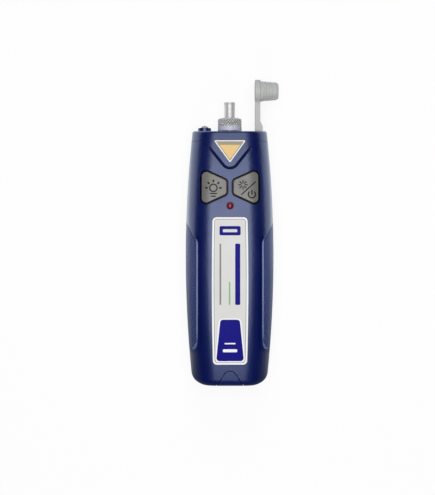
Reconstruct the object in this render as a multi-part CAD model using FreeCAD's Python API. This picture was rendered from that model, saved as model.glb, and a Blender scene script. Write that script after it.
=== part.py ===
import FreeCAD, Part
import math
import os
from FreeCAD import Vector

# Visual fault locator, millimetres. It lies on its back: +Y is toward the connector, +Z is the front face.

# Housing
body_length = 123.3
body_width = 43.0
end_width = 36.4
body_depth = 26.0
nose_depth = 18.5
crown_from_nose = 72.2
side_draft = 8.0
parting_height = 8.0
back_round = 4.0
shoulder_round = 12.0
edge_roll = 3.5
side_straight = 7.2
tail_taper = 5.3
tail_slope = 0.5
tail_bend = 12.5
tail_corner = 4.5
wall = 2.0
root_sink = 0.4
overlap = 0.5
nose_wall = 2.75
nose_round = 1.2
nose_draft = 6.5

# Fits between pieces
seam_gap = 0.12
fit = 0.1
press_gap = 0.03
slide_gap = 0.2
running_gap = 0.08

# Nose cap: a straight seam round the sides and a V-shaped tongue on the front
seam_from_nose = 5.6
tongue_reach = 16.1
tongue_slope = 1.28
tongue_tip_round = 4.0
tongue_root_round = 3.0
valley_radius = 0.85
valley_depth = 0.42
spigot_length = 3.2
spigot_wall = 1.3

# Triangular inlay in the tongue
inlay_half_width = 7.75
inlay_base_from_nose = 5.7
inlay_height = 10.9
inlay_round = 0.45
inlay_thick = 0.5

# Label plate
label_top_from_nose = 42.7
label_foot_from_tail = 10.6
label_mid_width = 17.8
label_top_width = 16.6
label_foot_width = 16.2
label_round = 2.0
label_barrel_radius = 1400.0
label_thick = 0.5

# Side grips
grip_inner = 15.75
grip_top_from_nose = 55.2
grip_foot_from_tail = 16.5
grip_top_slope = 1.83
grip_top_round = 3.0
grip_foot_round = 5.0
grip_thick = 1.0
bead_width = 1.2
bead_height = 0.5
bead_root = 0.7
bead_end = 7.0
bead_past_top = 3.4

# Push buttons
button_from_nose = 28.4
button_inner = 1.6
button_outer = 13.4
button_inner_height = 6.4
button_outer_height = 17.2
button_inner_round = 1.8
button_outer_round = 2.2
button_proud = 0.7
button_edge_round = 0.4
button_gap = 0.9
button_flange = 1.35
button_flange_thick = 1.0
button_travel = 0.5
plunger_diameter = 4.0

# Indicator and torch lamps
lamp_from_nose = 37.25
lamp_diameter = 3.0
lamp_flange = 3.8
lamp_hole = 3.9
lamp_proud = 1.1
lamp_length = 5.3
torch_offset = 12.25
torch_diameter = 5.0
torch_flange = 5.8
torch_length = 8.6
torch_proud = 2.3
torch_boss = 6.5
torch_boss_height = 1.0
lamp_flange_thick = 1.0

# Optical port
port_height = 10.0
port_sink = 0.5
collar_diameter = 11.6
collar_height = 2.2
collar_seat = 12.4
shank_diameter = 7.9
spigot_diameter = 7.8
port_spigot_height = 2.8
nut_diameter = 11.8
nut_height = 3.85
nut_lip = 1.05
nut_chamfer = 0.4
lock_nut_flats = 10.0
lock_nut_height = 2.4
shank_tail = 0.5
sleeve_diameter = 5.1
sleeve_reach = 14.1
sleeve_lip = 0.17
sleeve_lip_height = 0.9
sleeve_root = 4.7
ferrule_diameter = 2.5
split_sleeve_length = 9.5
split_sleeve_wall = 0.41
split_width = 0.35
sleeve_mouth = 2.8
sleeve_mouth_depth = 0.6

# Laser barrel behind the port
barrel_diameter = 6.0
barrel_length = 20.4
ferrule_seat = 10.0
diode_seat = 4.3
diode_flange = 5.6
diode_can = 4.7
diode_flange_thick = 1.2
diode_length = 3.9
lead_diameter = 0.45
lead_circle = 2.54
lead_length = 6.0
light_path = 2.0
saddle_thick = 2.0
saddle_width = 12.0
saddle_spacing = 10.0
saddle_from_head = 4.0

# Dust cap, moulded in one with its strap; the strap folds at the hinge
strap_offset = 12.32
strap_thick = 2.58
strap_width = 4.0
strap_fold_above_nut = 1.2
anchor_spread = 1.0
anchor_thick = 1.8
gusset_reach = 1.15
gusset_height = 2.1
gusset_taper = 2.3
cap_flange = 11.1
cap_mouth_diameter = 9.9
cap_end_diameter = 8.6
cap_length = 11.4
cap_chamfer = 1.2
cap_bore_depth = 9.2
cap_gap = 0.18

# Circuit board and switches
board_height = 15.0
board_thick = 1.6
board_width = 22.0
board_from_nose = 15.2
board_from_bay = 3.0
board_round = 1.5
switch_size = 6.0
switch_height = 2.8
stem_diameter = 3.4
stem_height = 0.7
stem_gap = 0.1
spacer_diameter = 4.0
chip_width = 5.0
chip_length = 6.2
chip_height = 1.5
chip_from_tail_edge = 12.0
capacitor_diameter = 5.0
capacitor_height = 5.6

# Cells, contacts and the battery door
cell_diameter = 14.4
cell_length = 50.5
cell_spacing = 14.7
nub_diameter = 5.5
nub_height = 1.0
cell_lift = 0.2
contact_thick = 0.4
contact_width = 11.0
contact_height = 10.0
dimple_height = 0.5
dimple_diameter = 4.0
spring_height = 2.5
spring_span = 9.0
spring_width = 6.0
spring_leaf = 0.35
bay_wall = 1.6
bay_side_gap = 0.15
tail_wall_gap = 0.4
tail_wall = 0.8
ceiling_gap = 0.35
ceiling = 1.2
door_thick = 2.0
door_half_width = 15.0
rail_reach = 0.7
rail_thick = 0.7
rail_height = 0.8
door_head_overlap = 1.0
clip_reach = 9.9
clip_gap = 0.35
clip_half_width = 6.4
clip_tip_round = 3.0
finger_groove_count = 5
finger_groove_pitch = 2.4
finger_groove_radius = 0.7
finger_groove_depth = 0.5
finger_groove_length = 14.0
finger_from_tail = 13.0

# Screws
case_screw = 2.2
case_screw_head = 4.2
case_screw_head_height = 1.6
case_screw_length = 10.0
case_screw_sink = 2.4
case_post = 6.4
case_boss = 5.2
nose_screw_x = 13.0
nose_screw_from_nose = 12.7
waist_screw_x = 16.2
waist_screw_from_bay = 5.4
board_screw = 1.7
board_screw_head = 3.2
board_screw_head_height = 1.2
board_screw_length = 4.6
board_boss = 4.0
board_head_x = 8.6
board_edge_margin = 2.2
drive_width = 0.5
drive_depth = 0.6

# Positions that follow from the sizes above
nose_y = body_length / 2
tail_y = -body_length / 2
crown_y = nose_y - crown_from_nose
seam_y = nose_y - seam_from_nose
button_y = nose_y - button_from_nose
lamp_y = nose_y - lamp_from_nose
reach_z = 2 * body_depth
reach_x = 2 * body_width
port_face_y = nose_y - port_sink
collar_top_y = port_face_y + collar_height
nut_foot_y = collar_top_y + running_gap
nut_top_y = nut_foot_y + nut_height
hinge_y = nut_top_y + strap_fold_above_nut
cap_axis_y = hinge_y + strap_offset
sleeve_tip_y = port_face_y + sleeve_reach
nose_inner_y = nose_y - nose_wall
shank_foot_y = nose_inner_y - lock_nut_height - shank_tail
split_top_y = sleeve_tip_y - sleeve_mouth_depth - fit / 2
split_foot_y = split_top_y - split_sleeve_length
bay_tail_y = tail_y + wall + tail_wall_gap + tail_wall
bay_length = cell_length + 2 * contact_thick + dimple_height + spring_height + fit
bay_head_y = bay_tail_y + bay_length
bay_half = cell_spacing / 2 + cell_diameter / 2 + bay_side_gap
cell_z = door_thick + slide_gap + cell_lift + cell_diameter / 2
bay_top = cell_z + cell_diameter / 2 + ceiling_gap
door_head_y = bay_head_y + door_head_overlap
board_tail_y = bay_head_y + board_from_bay
board_head_y = nose_y - board_from_nose
switch_x = (button_inner + button_outer) / 2
stem_top = board_height + switch_height + stem_height
case_screw_places = [
    (-nose_screw_x, nose_y - nose_screw_from_nose),
    (nose_screw_x, nose_y - nose_screw_from_nose),
    (-waist_screw_x, bay_head_y + waist_screw_from_bay),
    (waist_screw_x, bay_head_y + waist_screw_from_bay),
]
board_screw_places = [
    (-board_head_x, board_head_y - board_edge_margin),
    (board_head_x, board_head_y - board_edge_margin),
    (-board_head_x, board_tail_y + board_edge_margin),
    (board_head_x, board_tail_y + board_edge_margin),
]


# Outlines with rounded corners
def grown(points, radii, amount):
    new_points = []
    new_radii = []
    count = len(points)
    for i in range(count):
        before = Vector(points[i - 1][0], points[i - 1][1], 0)
        here = Vector(points[i][0], points[i][1], 0)
        after = Vector(points[(i + 1) % count][0], points[(i + 1) % count][1], 0)
        way_in = (here - before).normalize()
        way_out = (after - here).normalize()
        out_a = Vector(way_in.y, -way_in.x, 0)
        out_b = Vector(way_out.y, -way_out.x, 0)
        moved = here + (out_a + out_b) * (amount / (1 + out_a.dot(out_b)))
        new_points.append((moved.x, moved.y))
        outward_corner = way_in.cross(way_out).z > 0
        change = amount if outward_corner else -amount
        new_radii.append(max(radii[i] + change, 0.3))
    return new_points, new_radii


def outline(points, radii, place):
    corners = []
    count = len(points)
    for i in range(count):
        before = Vector(points[i - 1][0], points[i - 1][1], 0)
        here = Vector(points[i][0], points[i][1], 0)
        after = Vector(points[(i + 1) % count][0], points[(i + 1) % count][1], 0)
        way_in = (here - before).normalize()
        way_out = (after - here).normalize()
        turn = way_in.getAngle(way_out)
        run = radii[i] * math.tan(turn / 2)
        inward = (way_out - way_in).normalize()
        middle = here + inward * (radii[i] / math.cos(turn / 2) - radii[i])
        corners.append((here - way_in * run, middle, here + way_out * run))
    edges = []
    for i in range(count):
        start, middle, end = corners[i]
        following = corners[(i + 1) % count][0]
        edges.append(Part.Arc(place(start), place(middle), place(end)).toShape())
        edges.append(Part.makeLine(place(end), place(following)))
    return Part.Wire(edges)


def prism(points, radii, amount, low, high):
    points, radii = grown(points, radii, amount)
    wire = outline(points, radii, lambda v: Vector(v.x, v.y, low))
    return Part.Face(wire).extrude(Vector(0, 0, high - low))


def front_prism(points, radii, amount=0.0):
    return prism(points, radii, amount, parting_height, reach_z)


def full_prism(points, radii, amount=0.0):
    return prism(points, radii, amount, -1.0, reach_z)


def box(x0, x1, y0, y1, z0, z1):
    return Part.makeBox(x1 - x0, y1 - y0, z1 - z0, Vector(x0, y0, z0))


def rod_up(x, y, z0, z1, diameter):
    return Part.makeCylinder(diameter / 2, z1 - z0, Vector(x, y, z0), Vector(0, 0, 1))


def rod_along(x, z, y0, y1, diameter):
    return Part.makeCylinder(diameter / 2, y1 - y0, Vector(x, y0, z), Vector(0, 1, 0))


def joined(first, others):
    return first.multiFuse(others).removeSplitter()


def mirrored(shape):
    return shape.mirror(Vector(0, 0, 0), Vector(1, 0, 0))


# The housing: a front section turned about a far axis, inside a plan outline with a rounded back
front_drop = body_depth - nose_depth
front_radius = (crown_from_nose ** 2 + front_drop ** 2) / (2 * front_drop)
crown_axis = Vector(0, crown_y, body_depth - front_radius)

side_curved = body_length / 2 - side_straight
side_slope = (body_width - end_width) / (body_length - side_curved)
side_radius = side_curved / math.sin(math.atan(side_slope))
side_tip = end_width / 2 + nose_y * side_slope
side_axis = side_tip - side_radius / math.cos(math.atan(side_slope))
past_nose = 20.0
past_half = side_tip - (nose_y + past_nose) * side_slope
tail_half = end_width / 2 - tail_taper
corner_rise = tail_taper * tail_slope / (1 - tail_slope * side_slope)
corner_half = tail_half + corner_rise / tail_slope
plan_points = [
    (-tail_half, tail_y),
    (tail_half, tail_y),
    (corner_half, tail_y + corner_rise),
    (side_tip, 0),
    (past_half, nose_y + past_nose),
    (-past_half, nose_y + past_nose),
    (-side_tip, 0),
    (-corner_half, tail_y + corner_rise),
]
past_round = back_round + 2.0
right_radii = [tail_bend, tail_corner, side_radius, past_round]
plan_radii = right_radii[:1] + right_radii + right_radii[:0:-1]


def front_height(y):
    return crown_axis.z + math.sqrt(front_radius ** 2 - (y - crown_y) ** 2)


# One side of the housing: a cone about an upright axis, which gives the bowed side its draft
def side_cone(direction, inset):
    lean = math.tan(math.radians(side_draft))
    foot_z = -body_depth / 2
    shift = inset / math.cos(math.radians(side_draft))
    foot_radius = side_radius - shift + (parting_height - foot_z) * lean
    top_radius = side_radius - shift - (reach_z - parting_height) * lean
    foot = Vector(direction * side_axis, 0, foot_z)
    cone = Part.makeCone(foot_radius, top_radius, reach_z - foot_z, foot)
    if direction > 0:
        cone.rotate(foot, Vector(0, 0, 1), 180)
    return cone


# Long crown and bowed sides, met by a wide shoulder
def crowned(inset):
    across = Vector(1, 0, 0)
    crown = front_radius - inset
    end_y = nose_y + past_nose / 2
    sides = side_cone(1, inset).common(side_cone(-1, inset))
    sides = sides.common(box(-reach_x, reach_x, -end_y, end_y, -reach_z, reach_z))
    dome = Part.makeCylinder(crown, 2 * reach_x, crown_axis - across * reach_x, across)
    dome.rotate(crown_axis, across, 180)
    topped = sides.common(dome)
    shoulders = []
    for edge in topped.Edges:
        ends = [vertex.Point for vertex in edge.Vertexes]
        off_crown = max(abs((end - crown_axis).cross(across).Length - crown) for end in ends)
        if off_crown < 0.01 and abs(ends[0].y - ends[-1].y) > body_length / 2:
            shoulders.append(edge)
    return topped.makeFillet(shoulder_round - inset, shoulders)


def blank(inset):
    plan = prism(plan_points, plan_radii, -inset, inset, reach_z)
    foot_edges = [e for e in plan.Edges if all(abs(v.Z - inset) < 0.001 for v in e.Vertexes)]
    plan = plan.makeFillet(back_round - inset, foot_edges)
    return plan.common(crowned(inset))


def up_to_nose(shape, nose_end=0.0):
    return shape.common(box(-reach_x, reach_x, -body_length, nose_y - nose_end, -reach_z, reach_z))


def body(inset, nose_end=0.0):
    return up_to_nose(blank(inset), nose_end)


def upright(face, point):
    return abs(face.normalAt(*face.Surface.parameter(point)).z) < 0.001


def rolled(shape, radius):
    rim = []
    for edge in shape.Edges:
        middle = edge.valueAt((edge.FirstParameter + edge.LastParameter) / 2)
        walls = [face for face in shape.ancestorsOfType(edge, Part.Face) if upright(face, middle)]
        if middle.z > back_round and len(walls) == 1:
            rim.append(edge)
    return shape.makeFillet(radius, rim)


def layer(region, top, bottom):
    return region.common(body(top)).cut(body(bottom))


# The nose face leans back from the parting line toward the front
def nose_face_y(z):
    return nose_y - (z - parting_height) * math.tan(math.radians(nose_draft))


nose_side = [
    Vector(-reach_x, -body_length, -1.0),
    Vector(-reach_x, nose_face_y(-1.0), -1.0),
    Vector(-reach_x, nose_face_y(reach_z), reach_z),
    Vector(-reach_x, -body_length, reach_z),
]
behind_nose = Part.Face(Part.makePolygon(nose_side + [nose_side[0]])).extrude(Vector(2 * reach_x, 0, 0))
outer = rolled(blank(0.0), edge_roll).common(behind_nose)
nose_edges = [e for e in outer.Edges if all(abs(v.Y - nose_face_y(v.Z)) < 0.001 for v in e.Vertexes)]
outer = outer.makeFillet(nose_round, nose_edges)
cavity = body(wall, nose_wall)
skin = outer.cut(cavity)
near_cavity = body(wall - root_sink, nose_wall)

front_half = box(-reach_x, reach_x, -body_length, body_length, parting_height, reach_z)
rear_half = box(-reach_x, reach_x, -body_length, body_length, -reach_z, parting_height)

# Nose region, as seen on the front and round the back
tongue_half = tongue_reach / tongue_slope
nose_points = [
    (-reach_x, seam_y),
    (-tongue_half, seam_y),
    (0, seam_y - tongue_reach),
    (tongue_half, seam_y),
    (reach_x, seam_y),
    (reach_x, body_length),
    (-reach_x, body_length),
]
nose_radii = [1.0, tongue_root_round, tongue_tip_round, tongue_root_round, 1.0, 1.0, 1.0]


def nose_region(amount):
    front = front_prism(nose_points, nose_radii, amount)
    back = box(-reach_x, reach_x, seam_y - amount, body_length, -reach_z, parting_height)
    return front.fuse(back)


# A soft valley along the tongue, in the plane that touches the front there
valley_y = seam_y - tongue_reach / 2
valley_tilt = math.degrees(math.asin((valley_y - crown_y) / front_radius))
valley_centre = Vector(0, valley_y, front_height(valley_y) + valley_radius - valley_depth)
valley_points = [(-tongue_half, seam_y), (0, seam_y - tongue_reach), (tongue_half, seam_y)]
valley_radii = [1.0, tongue_tip_round, 1.0]
valley_path = outline(valley_points, valley_radii, lambda v: Vector(v.x, v.y, valley_centre.z))
valley_leg, valley_bend = valley_path.Edges[1:3]
leg_start = valley_leg.valueAt(valley_leg.FirstParameter)
leg_way = valley_leg.valueAt(valley_leg.LastParameter) - leg_start
valley_rod = Part.makeCylinder(valley_radius, valley_leg.Length, leg_start, leg_way)
bend_section = Part.Face(Part.Wire(Part.makeCircle(valley_radius, leg_start + leg_way, leg_way)))
bend_turn = math.degrees(valley_bend.Length / tongue_tip_round)
bend_ring = bend_section.revolve(valley_bend.Curve.Center, Vector(0, 0, 1), bend_turn)
valley = valley_rod.multiFuse([bend_ring, mirrored(valley_rod)])
valley.rotate(valley_centre, Vector(1, 0, 0), -valley_tilt)

# Outlines on the front face
label_top_y = nose_y - label_top_from_nose
label_foot_y = tail_y + label_foot_from_tail
label_points = [
    (-label_foot_width / 2, label_foot_y),
    (label_foot_width / 2, label_foot_y),
    (label_mid_width / 2, (label_foot_y + label_top_y) / 2),
    (label_top_width / 2, label_top_y),
    (-label_top_width / 2, label_top_y),
    (-label_mid_width / 2, (label_foot_y + label_top_y) / 2),
]
label_radii = [label_round, label_round, label_barrel_radius, label_round, label_round, label_barrel_radius]

inlay_base_y = nose_y - inlay_base_from_nose
inlay_points = [
    (0, inlay_base_y - inlay_height),
    (inlay_half_width, inlay_base_y),
    (-inlay_half_width, inlay_base_y),
]
inlay_radii = [inlay_round, inlay_round, inlay_round]

button_points = [
    (button_inner, button_y - button_inner_height / 2),
    (button_outer, button_y - button_outer_height / 2),
    (button_outer, button_y + button_outer_height / 2),
    (button_inner, button_y + button_inner_height / 2),
]
button_radii = [button_inner_round, button_outer_round, button_outer_round, button_inner_round]

grip_top_y = nose_y - grip_top_from_nose
grip_foot_y = tail_y + grip_foot_from_tail
grip_points = [
    (grip_inner, grip_foot_y),
    (reach_x, grip_foot_y),
    (reach_x, grip_top_y + (reach_x - grip_inner) * grip_top_slope),
    (grip_inner, grip_top_y),
]
grip_radii = [grip_foot_round, 1.0, 1.0, grip_top_round]

clip_points = [
    (-clip_half_width, tail_y),
    (-clip_half_width, tail_y - body_depth),
    (clip_half_width, tail_y - body_depth),
    (clip_half_width, tail_y),
    (0, tail_y + clip_reach),
]
clip_radii = [0.5, 0.5, 0.5, 0.5, clip_tip_round]


# Battery door: plate on rails, with a clip that wraps the tail and shows on the front
def door_blank(gap):
    plate_half = door_half_width + gap
    plate = box(-plate_half, plate_half, tail_y - 1, door_head_y + gap, -1, door_thick + gap)
    rail_half = door_half_width + rail_reach + gap
    rails = box(-rail_half, rail_half, tail_y - 1, door_head_y + gap,
                rail_height - gap, rail_height + rail_thick + gap)
    return plate.fuse(rails)


door_clip = full_prism(clip_points, clip_radii).common(skin)
battery_door = joined(door_blank(0.0).common(outer), [door_clip])
finger_middle_y = tail_y + finger_from_tail
for i in range(finger_groove_count):
    groove_y = finger_middle_y + (i - (finger_groove_count - 1) / 2) * finger_groove_pitch
    groove_z = finger_groove_depth - finger_groove_radius
    groove = Part.makeCylinder(finger_groove_radius, finger_groove_length,
                               Vector(-finger_groove_length / 2, groove_y, groove_z), Vector(1, 0, 0))
    battery_door = battery_door.cut(groove)
door_space = door_blank(slide_gap).fuse(full_prism(clip_points, clip_radii, clip_gap))

# Front shell
grip_pocket = layer(front_prism(grip_points, grip_radii, fit), -1.0, grip_thick + fit / 2)
grip_ring = front_prism(grip_points, grip_radii, fit + bead_width)
grip_ring = grip_ring.cut(front_prism(grip_points, grip_radii, fit))
grip_bead = layer(grip_ring, -bead_height, bead_root)
bead_foot = parting_height + bead_end
grip_bead = grip_bead.common(box(0, reach_x, tail_y, grip_top_y + bead_past_top, bead_foot, reach_z))
button_window = prism(button_points, button_radii, button_gap, board_height, reach_z)
label_pocket = layer(front_prism(label_points, label_radii, fit), -1.0, label_thick)
lamp_window = rod_up(0, lamp_y, board_height, reach_z, lamp_hole)

ceiling_plate = box(-reach_x, reach_x, bay_tail_y - tail_wall, bay_head_y + bay_wall,
                    bay_top, bay_top + ceiling)
head_wall_front = box(-reach_x, reach_x, bay_head_y, bay_head_y + bay_wall, parting_height, bay_top)
bay_roof = ceiling_plate.fuse(head_wall_front).common(near_cavity)
front_bosses = []
for x, y in case_screw_places:
    front_bosses.append(rod_up(x, y, parting_height, reach_z, case_boss).common(near_cavity))
for x, y in board_screw_places:
    front_bosses.append(rod_up(x, y, board_height, reach_z, board_boss).common(near_cavity))

front_shell = skin.common(front_half).cut(nose_region(seam_gap))
front_shell = joined(front_shell, [bay_roof, grip_bead, mirrored(grip_bead)] + front_bosses)
front_shell = front_shell.cut(Part.makeCompound([
    grip_pocket, mirrored(grip_pocket), button_window, mirrored(button_window), label_pocket, lamp_window]))
front_shell = front_shell.cut(door_space).cut(valley)
for x, y in case_screw_places:
    tip = case_screw_sink + case_screw_head_height + case_screw_length
    front_shell = front_shell.cut(rod_up(x, y, parting_height - 1, tip + fit, case_screw + 2 * press_gap))
for x, y in board_screw_places:
    tip = board_height - board_thick + board_screw_length
    front_shell = front_shell.cut(rod_up(x, y, board_height - 1, tip + fit, board_screw + 2 * press_gap))

# Rear shell
bay_outer = box(-bay_half - bay_wall, bay_half + bay_wall, bay_tail_y - tail_wall, bay_head_y + bay_wall,
                wall - root_sink, parting_height)
bay_ends = [
    box(-reach_x, reach_x, bay_tail_y - tail_wall, bay_tail_y, wall - root_sink, parting_height),
    box(-reach_x, reach_x, bay_head_y, bay_head_y + bay_wall, wall - root_sink, parting_height),
]
bay_inner = box(-bay_half, bay_half, bay_tail_y, bay_head_y, -1, parting_height + 1)
bay_frame = bay_outer.multiFuse(bay_ends).common(near_cavity).cut(bay_inner)
barrel_head_y = shank_foot_y
barrel_tail_y = barrel_head_y - barrel_length
saddles = []
for i in range(2):
    saddle_y = barrel_head_y - saddle_from_head - i * saddle_spacing
    saddle = box(-saddle_width / 2, saddle_width / 2, saddle_y - saddle_thick, saddle_y,
                 wall - root_sink, port_height)
    saddles.append(saddle)
rear_posts = []
for x, y in case_screw_places:
    rear_posts.append(rod_up(x, y, 0, parting_height, case_post).common(near_cavity))

rear_shell = skin.common(rear_half).cut(nose_region(seam_gap))
rear_shell = joined(rear_shell, [bay_frame] + saddles + rear_posts)
rear_shell = rear_shell.cut(door_space)
barrel_room = rod_along(0, port_height, barrel_tail_y - 1, barrel_head_y + 1, barrel_diameter + fit)
rear_shell = rear_shell.cut(barrel_room)
for x, y in case_screw_places:
    sink = case_screw_sink + case_screw_head_height
    rear_shell = rear_shell.cut(rod_up(x, y, -1, sink, case_screw_head + 2 * fit))
    rear_shell = rear_shell.cut(rod_up(x, y, sink - 1, parting_height + 1, case_screw + 2 * fit))

# Nose cap
spigot_ring = body(wall + fit, nose_wall).cut(body(wall + fit + spigot_wall, nose_wall))
spigot_ring = spigot_ring.common(box(-reach_x, reach_x, seam_y - spigot_length, body_length, -1, reach_z))
strap_slot = box(strap_offset, strap_offset + strap_thick, shank_foot_y, body_length,
                 port_height - strap_width / 2, port_height + strap_width / 2)
anchor_half = strap_width / 2 + anchor_spread
anchor_tail_y = nose_inner_y - anchor_thick
anchor_room = box(strap_offset - anchor_spread - fit, strap_offset + strap_thick + anchor_spread + fit,
                  seam_y - spigot_length - 1, nose_inner_y,
                  port_height - anchor_half - fit, port_height + anchor_half + fit)
torch_boss_blank = rod_along(-torch_offset, port_height, nose_inner_y, nose_y + torch_boss_height, torch_boss)
collar_boss = rod_along(0, port_height, nose_inner_y, port_face_y, collar_seat)
nose_cap = joined(skin.common(nose_region(0.0)), [spigot_ring, torch_boss_blank, collar_boss])
nose_cap = nose_cap.cut(rod_along(0, port_height, port_face_y, body_length, collar_seat)).cut(valley)
nose_cap = nose_cap.cut(layer(front_prism(inlay_points, inlay_radii, fit), -1.0, inlay_thick))
nose_cap = nose_cap.cut(strap_slot)
nose_cap = nose_cap.cut(anchor_room)
nose_cap = nose_cap.cut(rod_along(0, port_height, seam_y, body_length, shank_diameter + 2 * fit))
nose_cap = nose_cap.cut(rod_along(-torch_offset, port_height, seam_y, body_length, torch_diameter + 2 * fit))
nose_cap = nose_cap.cut(rod_along(-torch_offset, port_height, seam_y - spigot_length - 1, nose_inner_y,
                                  torch_flange + 4 * fit))

# Trim set into the housing
right_grip = front_prism(grip_points, grip_radii).common(outer).cut(body(grip_thick))
right_grip = right_grip.common(box(-reach_x, reach_x, tail_y, nose_y, parting_height + fit / 2, reach_z))
left_grip = mirrored(right_grip)
label_plate = layer(front_prism(label_points, label_radii), 0.0, label_thick)
triangle_inlay = layer(front_prism(inlay_points, inlay_radii), 0.0, inlay_thick)

# Buttons: a cap through the window, a flange that keeps it in and a plunger over its switch
flange_top = wall + running_gap
button_foot = flange_top + button_flange_thick
button_cap = layer(front_prism(button_points, button_radii), -button_proud, button_foot)
crest_edges = []
for edge in button_cap.Edges:
    middle = edge.valueAt((edge.FirstParameter + edge.LastParameter) / 2)
    if middle.z > front_height(middle.y) - button_foot / 3:
        crest_edges.append(edge)
button_cap = button_cap.makeFillet(button_edge_round, crest_edges)
laser_button_flange = layer(front_prism(button_points, button_radii, button_flange), flange_top, button_foot)
plunger_foot = stem_top + button_travel + stem_gap
plunger = rod_up(switch_x, button_y, plunger_foot, reach_z, plunger_diameter)
plunger = plunger.common(body(button_foot - overlap))
laser_button = joined(button_cap, [laser_button_flange, plunger])
torch_button = mirrored(laser_button)

# Lamps
lamp_top = front_height(lamp_y) + lamp_proud
lamp_foot = lamp_top - lamp_length
dome_z = lamp_top - lamp_diameter / 2
indicator_lamp = joined(rod_up(0, lamp_y, lamp_foot, dome_z, lamp_diameter), [
    Part.makeSphere(lamp_diameter / 2, Vector(0, lamp_y, dome_z)),
    rod_up(0, lamp_y, lamp_foot, lamp_foot + lamp_flange_thick, lamp_flange)])
lamp_spacer = rod_up(0, lamp_y, board_height, lamp_foot, spacer_diameter)

torch_tip_y = nose_y + torch_proud
torch_foot_y = torch_tip_y - torch_length
torch_dome_y = torch_tip_y - torch_diameter / 2
torch_lamp = joined(rod_along(-torch_offset, port_height, torch_foot_y, torch_dome_y, torch_diameter), [
    Part.makeSphere(torch_diameter / 2, Vector(-torch_offset, torch_dome_y, port_height)),
    rod_along(-torch_offset, port_height, torch_foot_y, torch_foot_y + lamp_flange_thick, torch_flange)])


# Optical port, turned pieces on one axis
def turned(points, x=0.0, z=port_height):
    ring = [Vector(x + r, y, z) for r, y in points]
    face = Part.Face(Part.makePolygon(ring + [ring[0]]))
    return face.revolve(Vector(x, 0, z), Vector(0, 1, 0), 360)


sleeve_hole = sleeve_diameter / 2 + press_gap
sleeve_foot_y = port_face_y - sleeve_root
connector_collar = turned([
    (sleeve_hole, shank_foot_y),
    (shank_diameter / 2, shank_foot_y),
    (shank_diameter / 2, port_face_y),
    (collar_diameter / 2, port_face_y),
    (collar_diameter / 2, collar_top_y),
    (spigot_diameter / 2, collar_top_y),
    (spigot_diameter / 2, collar_top_y + port_spigot_height),
    (sleeve_hole, collar_top_y + port_spigot_height),
])
nut_seat = spigot_diameter / 2 + running_gap
nut_hole = sleeve_diameter / 2 + sleeve_lip + running_gap
coupling_nut = turned([
    (nut_seat, nut_foot_y),
    (nut_diameter / 2 - nut_chamfer / 2, nut_foot_y),
    (nut_diameter / 2, nut_foot_y + nut_chamfer / 2),
    (nut_diameter / 2, nut_top_y - nut_chamfer),
    (nut_diameter / 2 - nut_chamfer, nut_top_y),
    (nut_hole, nut_top_y),
    (nut_hole, nut_top_y - nut_lip + running_gap),
    (nut_seat, nut_top_y - nut_lip + running_gap),
])
split_outer = ferrule_diameter / 2 + split_sleeve_wall
sleeve_bore = split_outer + press_gap
adapter_sleeve = turned([
    (sleeve_bore, sleeve_foot_y),
    (sleeve_diameter / 2, sleeve_foot_y),
    (sleeve_diameter / 2, sleeve_tip_y - sleeve_lip_height),
    (sleeve_diameter / 2 + sleeve_lip, sleeve_tip_y - sleeve_lip_height + sleeve_lip),
    (sleeve_diameter / 2 + sleeve_lip, sleeve_tip_y - sleeve_lip),
    (sleeve_diameter / 2, sleeve_tip_y),
    (sleeve_mouth / 2, sleeve_tip_y),
    (sleeve_mouth / 2, sleeve_tip_y - sleeve_mouth_depth),
    (sleeve_bore, sleeve_tip_y - sleeve_mouth_depth),
])
split_sleeve = turned([
    (ferrule_diameter / 2, split_foot_y),
    (split_outer, split_foot_y),
    (split_outer, split_top_y),
    (ferrule_diameter / 2, split_top_y),
])
split_sleeve = split_sleeve.cut(box(-split_width / 2, split_width / 2, split_foot_y - 1, split_top_y + 1,
                                    port_height - sleeve_diameter, port_height))
ferrule_foot_y = barrel_head_y - ferrule_seat
ferrule_stub = rod_along(0, port_height, ferrule_foot_y, split_foot_y - fit / 2, ferrule_diameter)
hexagon = []
for i in range(6):
    turn = math.radians(60 * i)
    across = lock_nut_flats / math.sqrt(3)
    corner_z = port_height + across * math.sin(turn)
    hexagon.append(Vector(across * math.cos(turn), nose_inner_y - lock_nut_height, corner_z))
lock_nut = Part.Face(Part.makePolygon(hexagon + [hexagon[0]])).extrude(Vector(0, lock_nut_height, 0))
lock_nut = lock_nut.cut(rod_along(0, port_height, shank_foot_y, nose_y, shank_diameter + 2 * press_gap))

ferrule_bore = ferrule_diameter / 2 + press_gap
diode_bore = diode_flange / 2 + press_gap
laser_barrel = turned([
    (diode_bore, barrel_tail_y),
    (barrel_diameter / 2, barrel_tail_y),
    (barrel_diameter / 2, barrel_head_y),
    (ferrule_bore, barrel_head_y),
    (ferrule_bore, ferrule_foot_y),
    (light_path / 2, ferrule_foot_y),
    (light_path / 2, barrel_tail_y + diode_seat),
    (diode_bore, barrel_tail_y + diode_seat),
])
diode_head_y = barrel_tail_y + diode_seat
diode_tail_y = diode_head_y - diode_length
laser_diode = rod_along(0, port_height, diode_tail_y, diode_tail_y + diode_flange_thick, diode_flange)
diode_parts = [rod_along(0, port_height, diode_tail_y, diode_head_y, diode_can)]
for i in range(3):
    turn = math.radians(90 * i)
    lead_x = lead_circle / 2 * math.cos(turn)
    lead_z = port_height - lead_circle / 2 * math.sin(turn)
    lead_foot_y = diode_tail_y - lead_length
    diode_parts.append(rod_along(lead_x, lead_z, lead_foot_y, diode_tail_y + overlap, lead_diameter))
laser_diode = joined(laser_diode, diode_parts)

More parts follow.
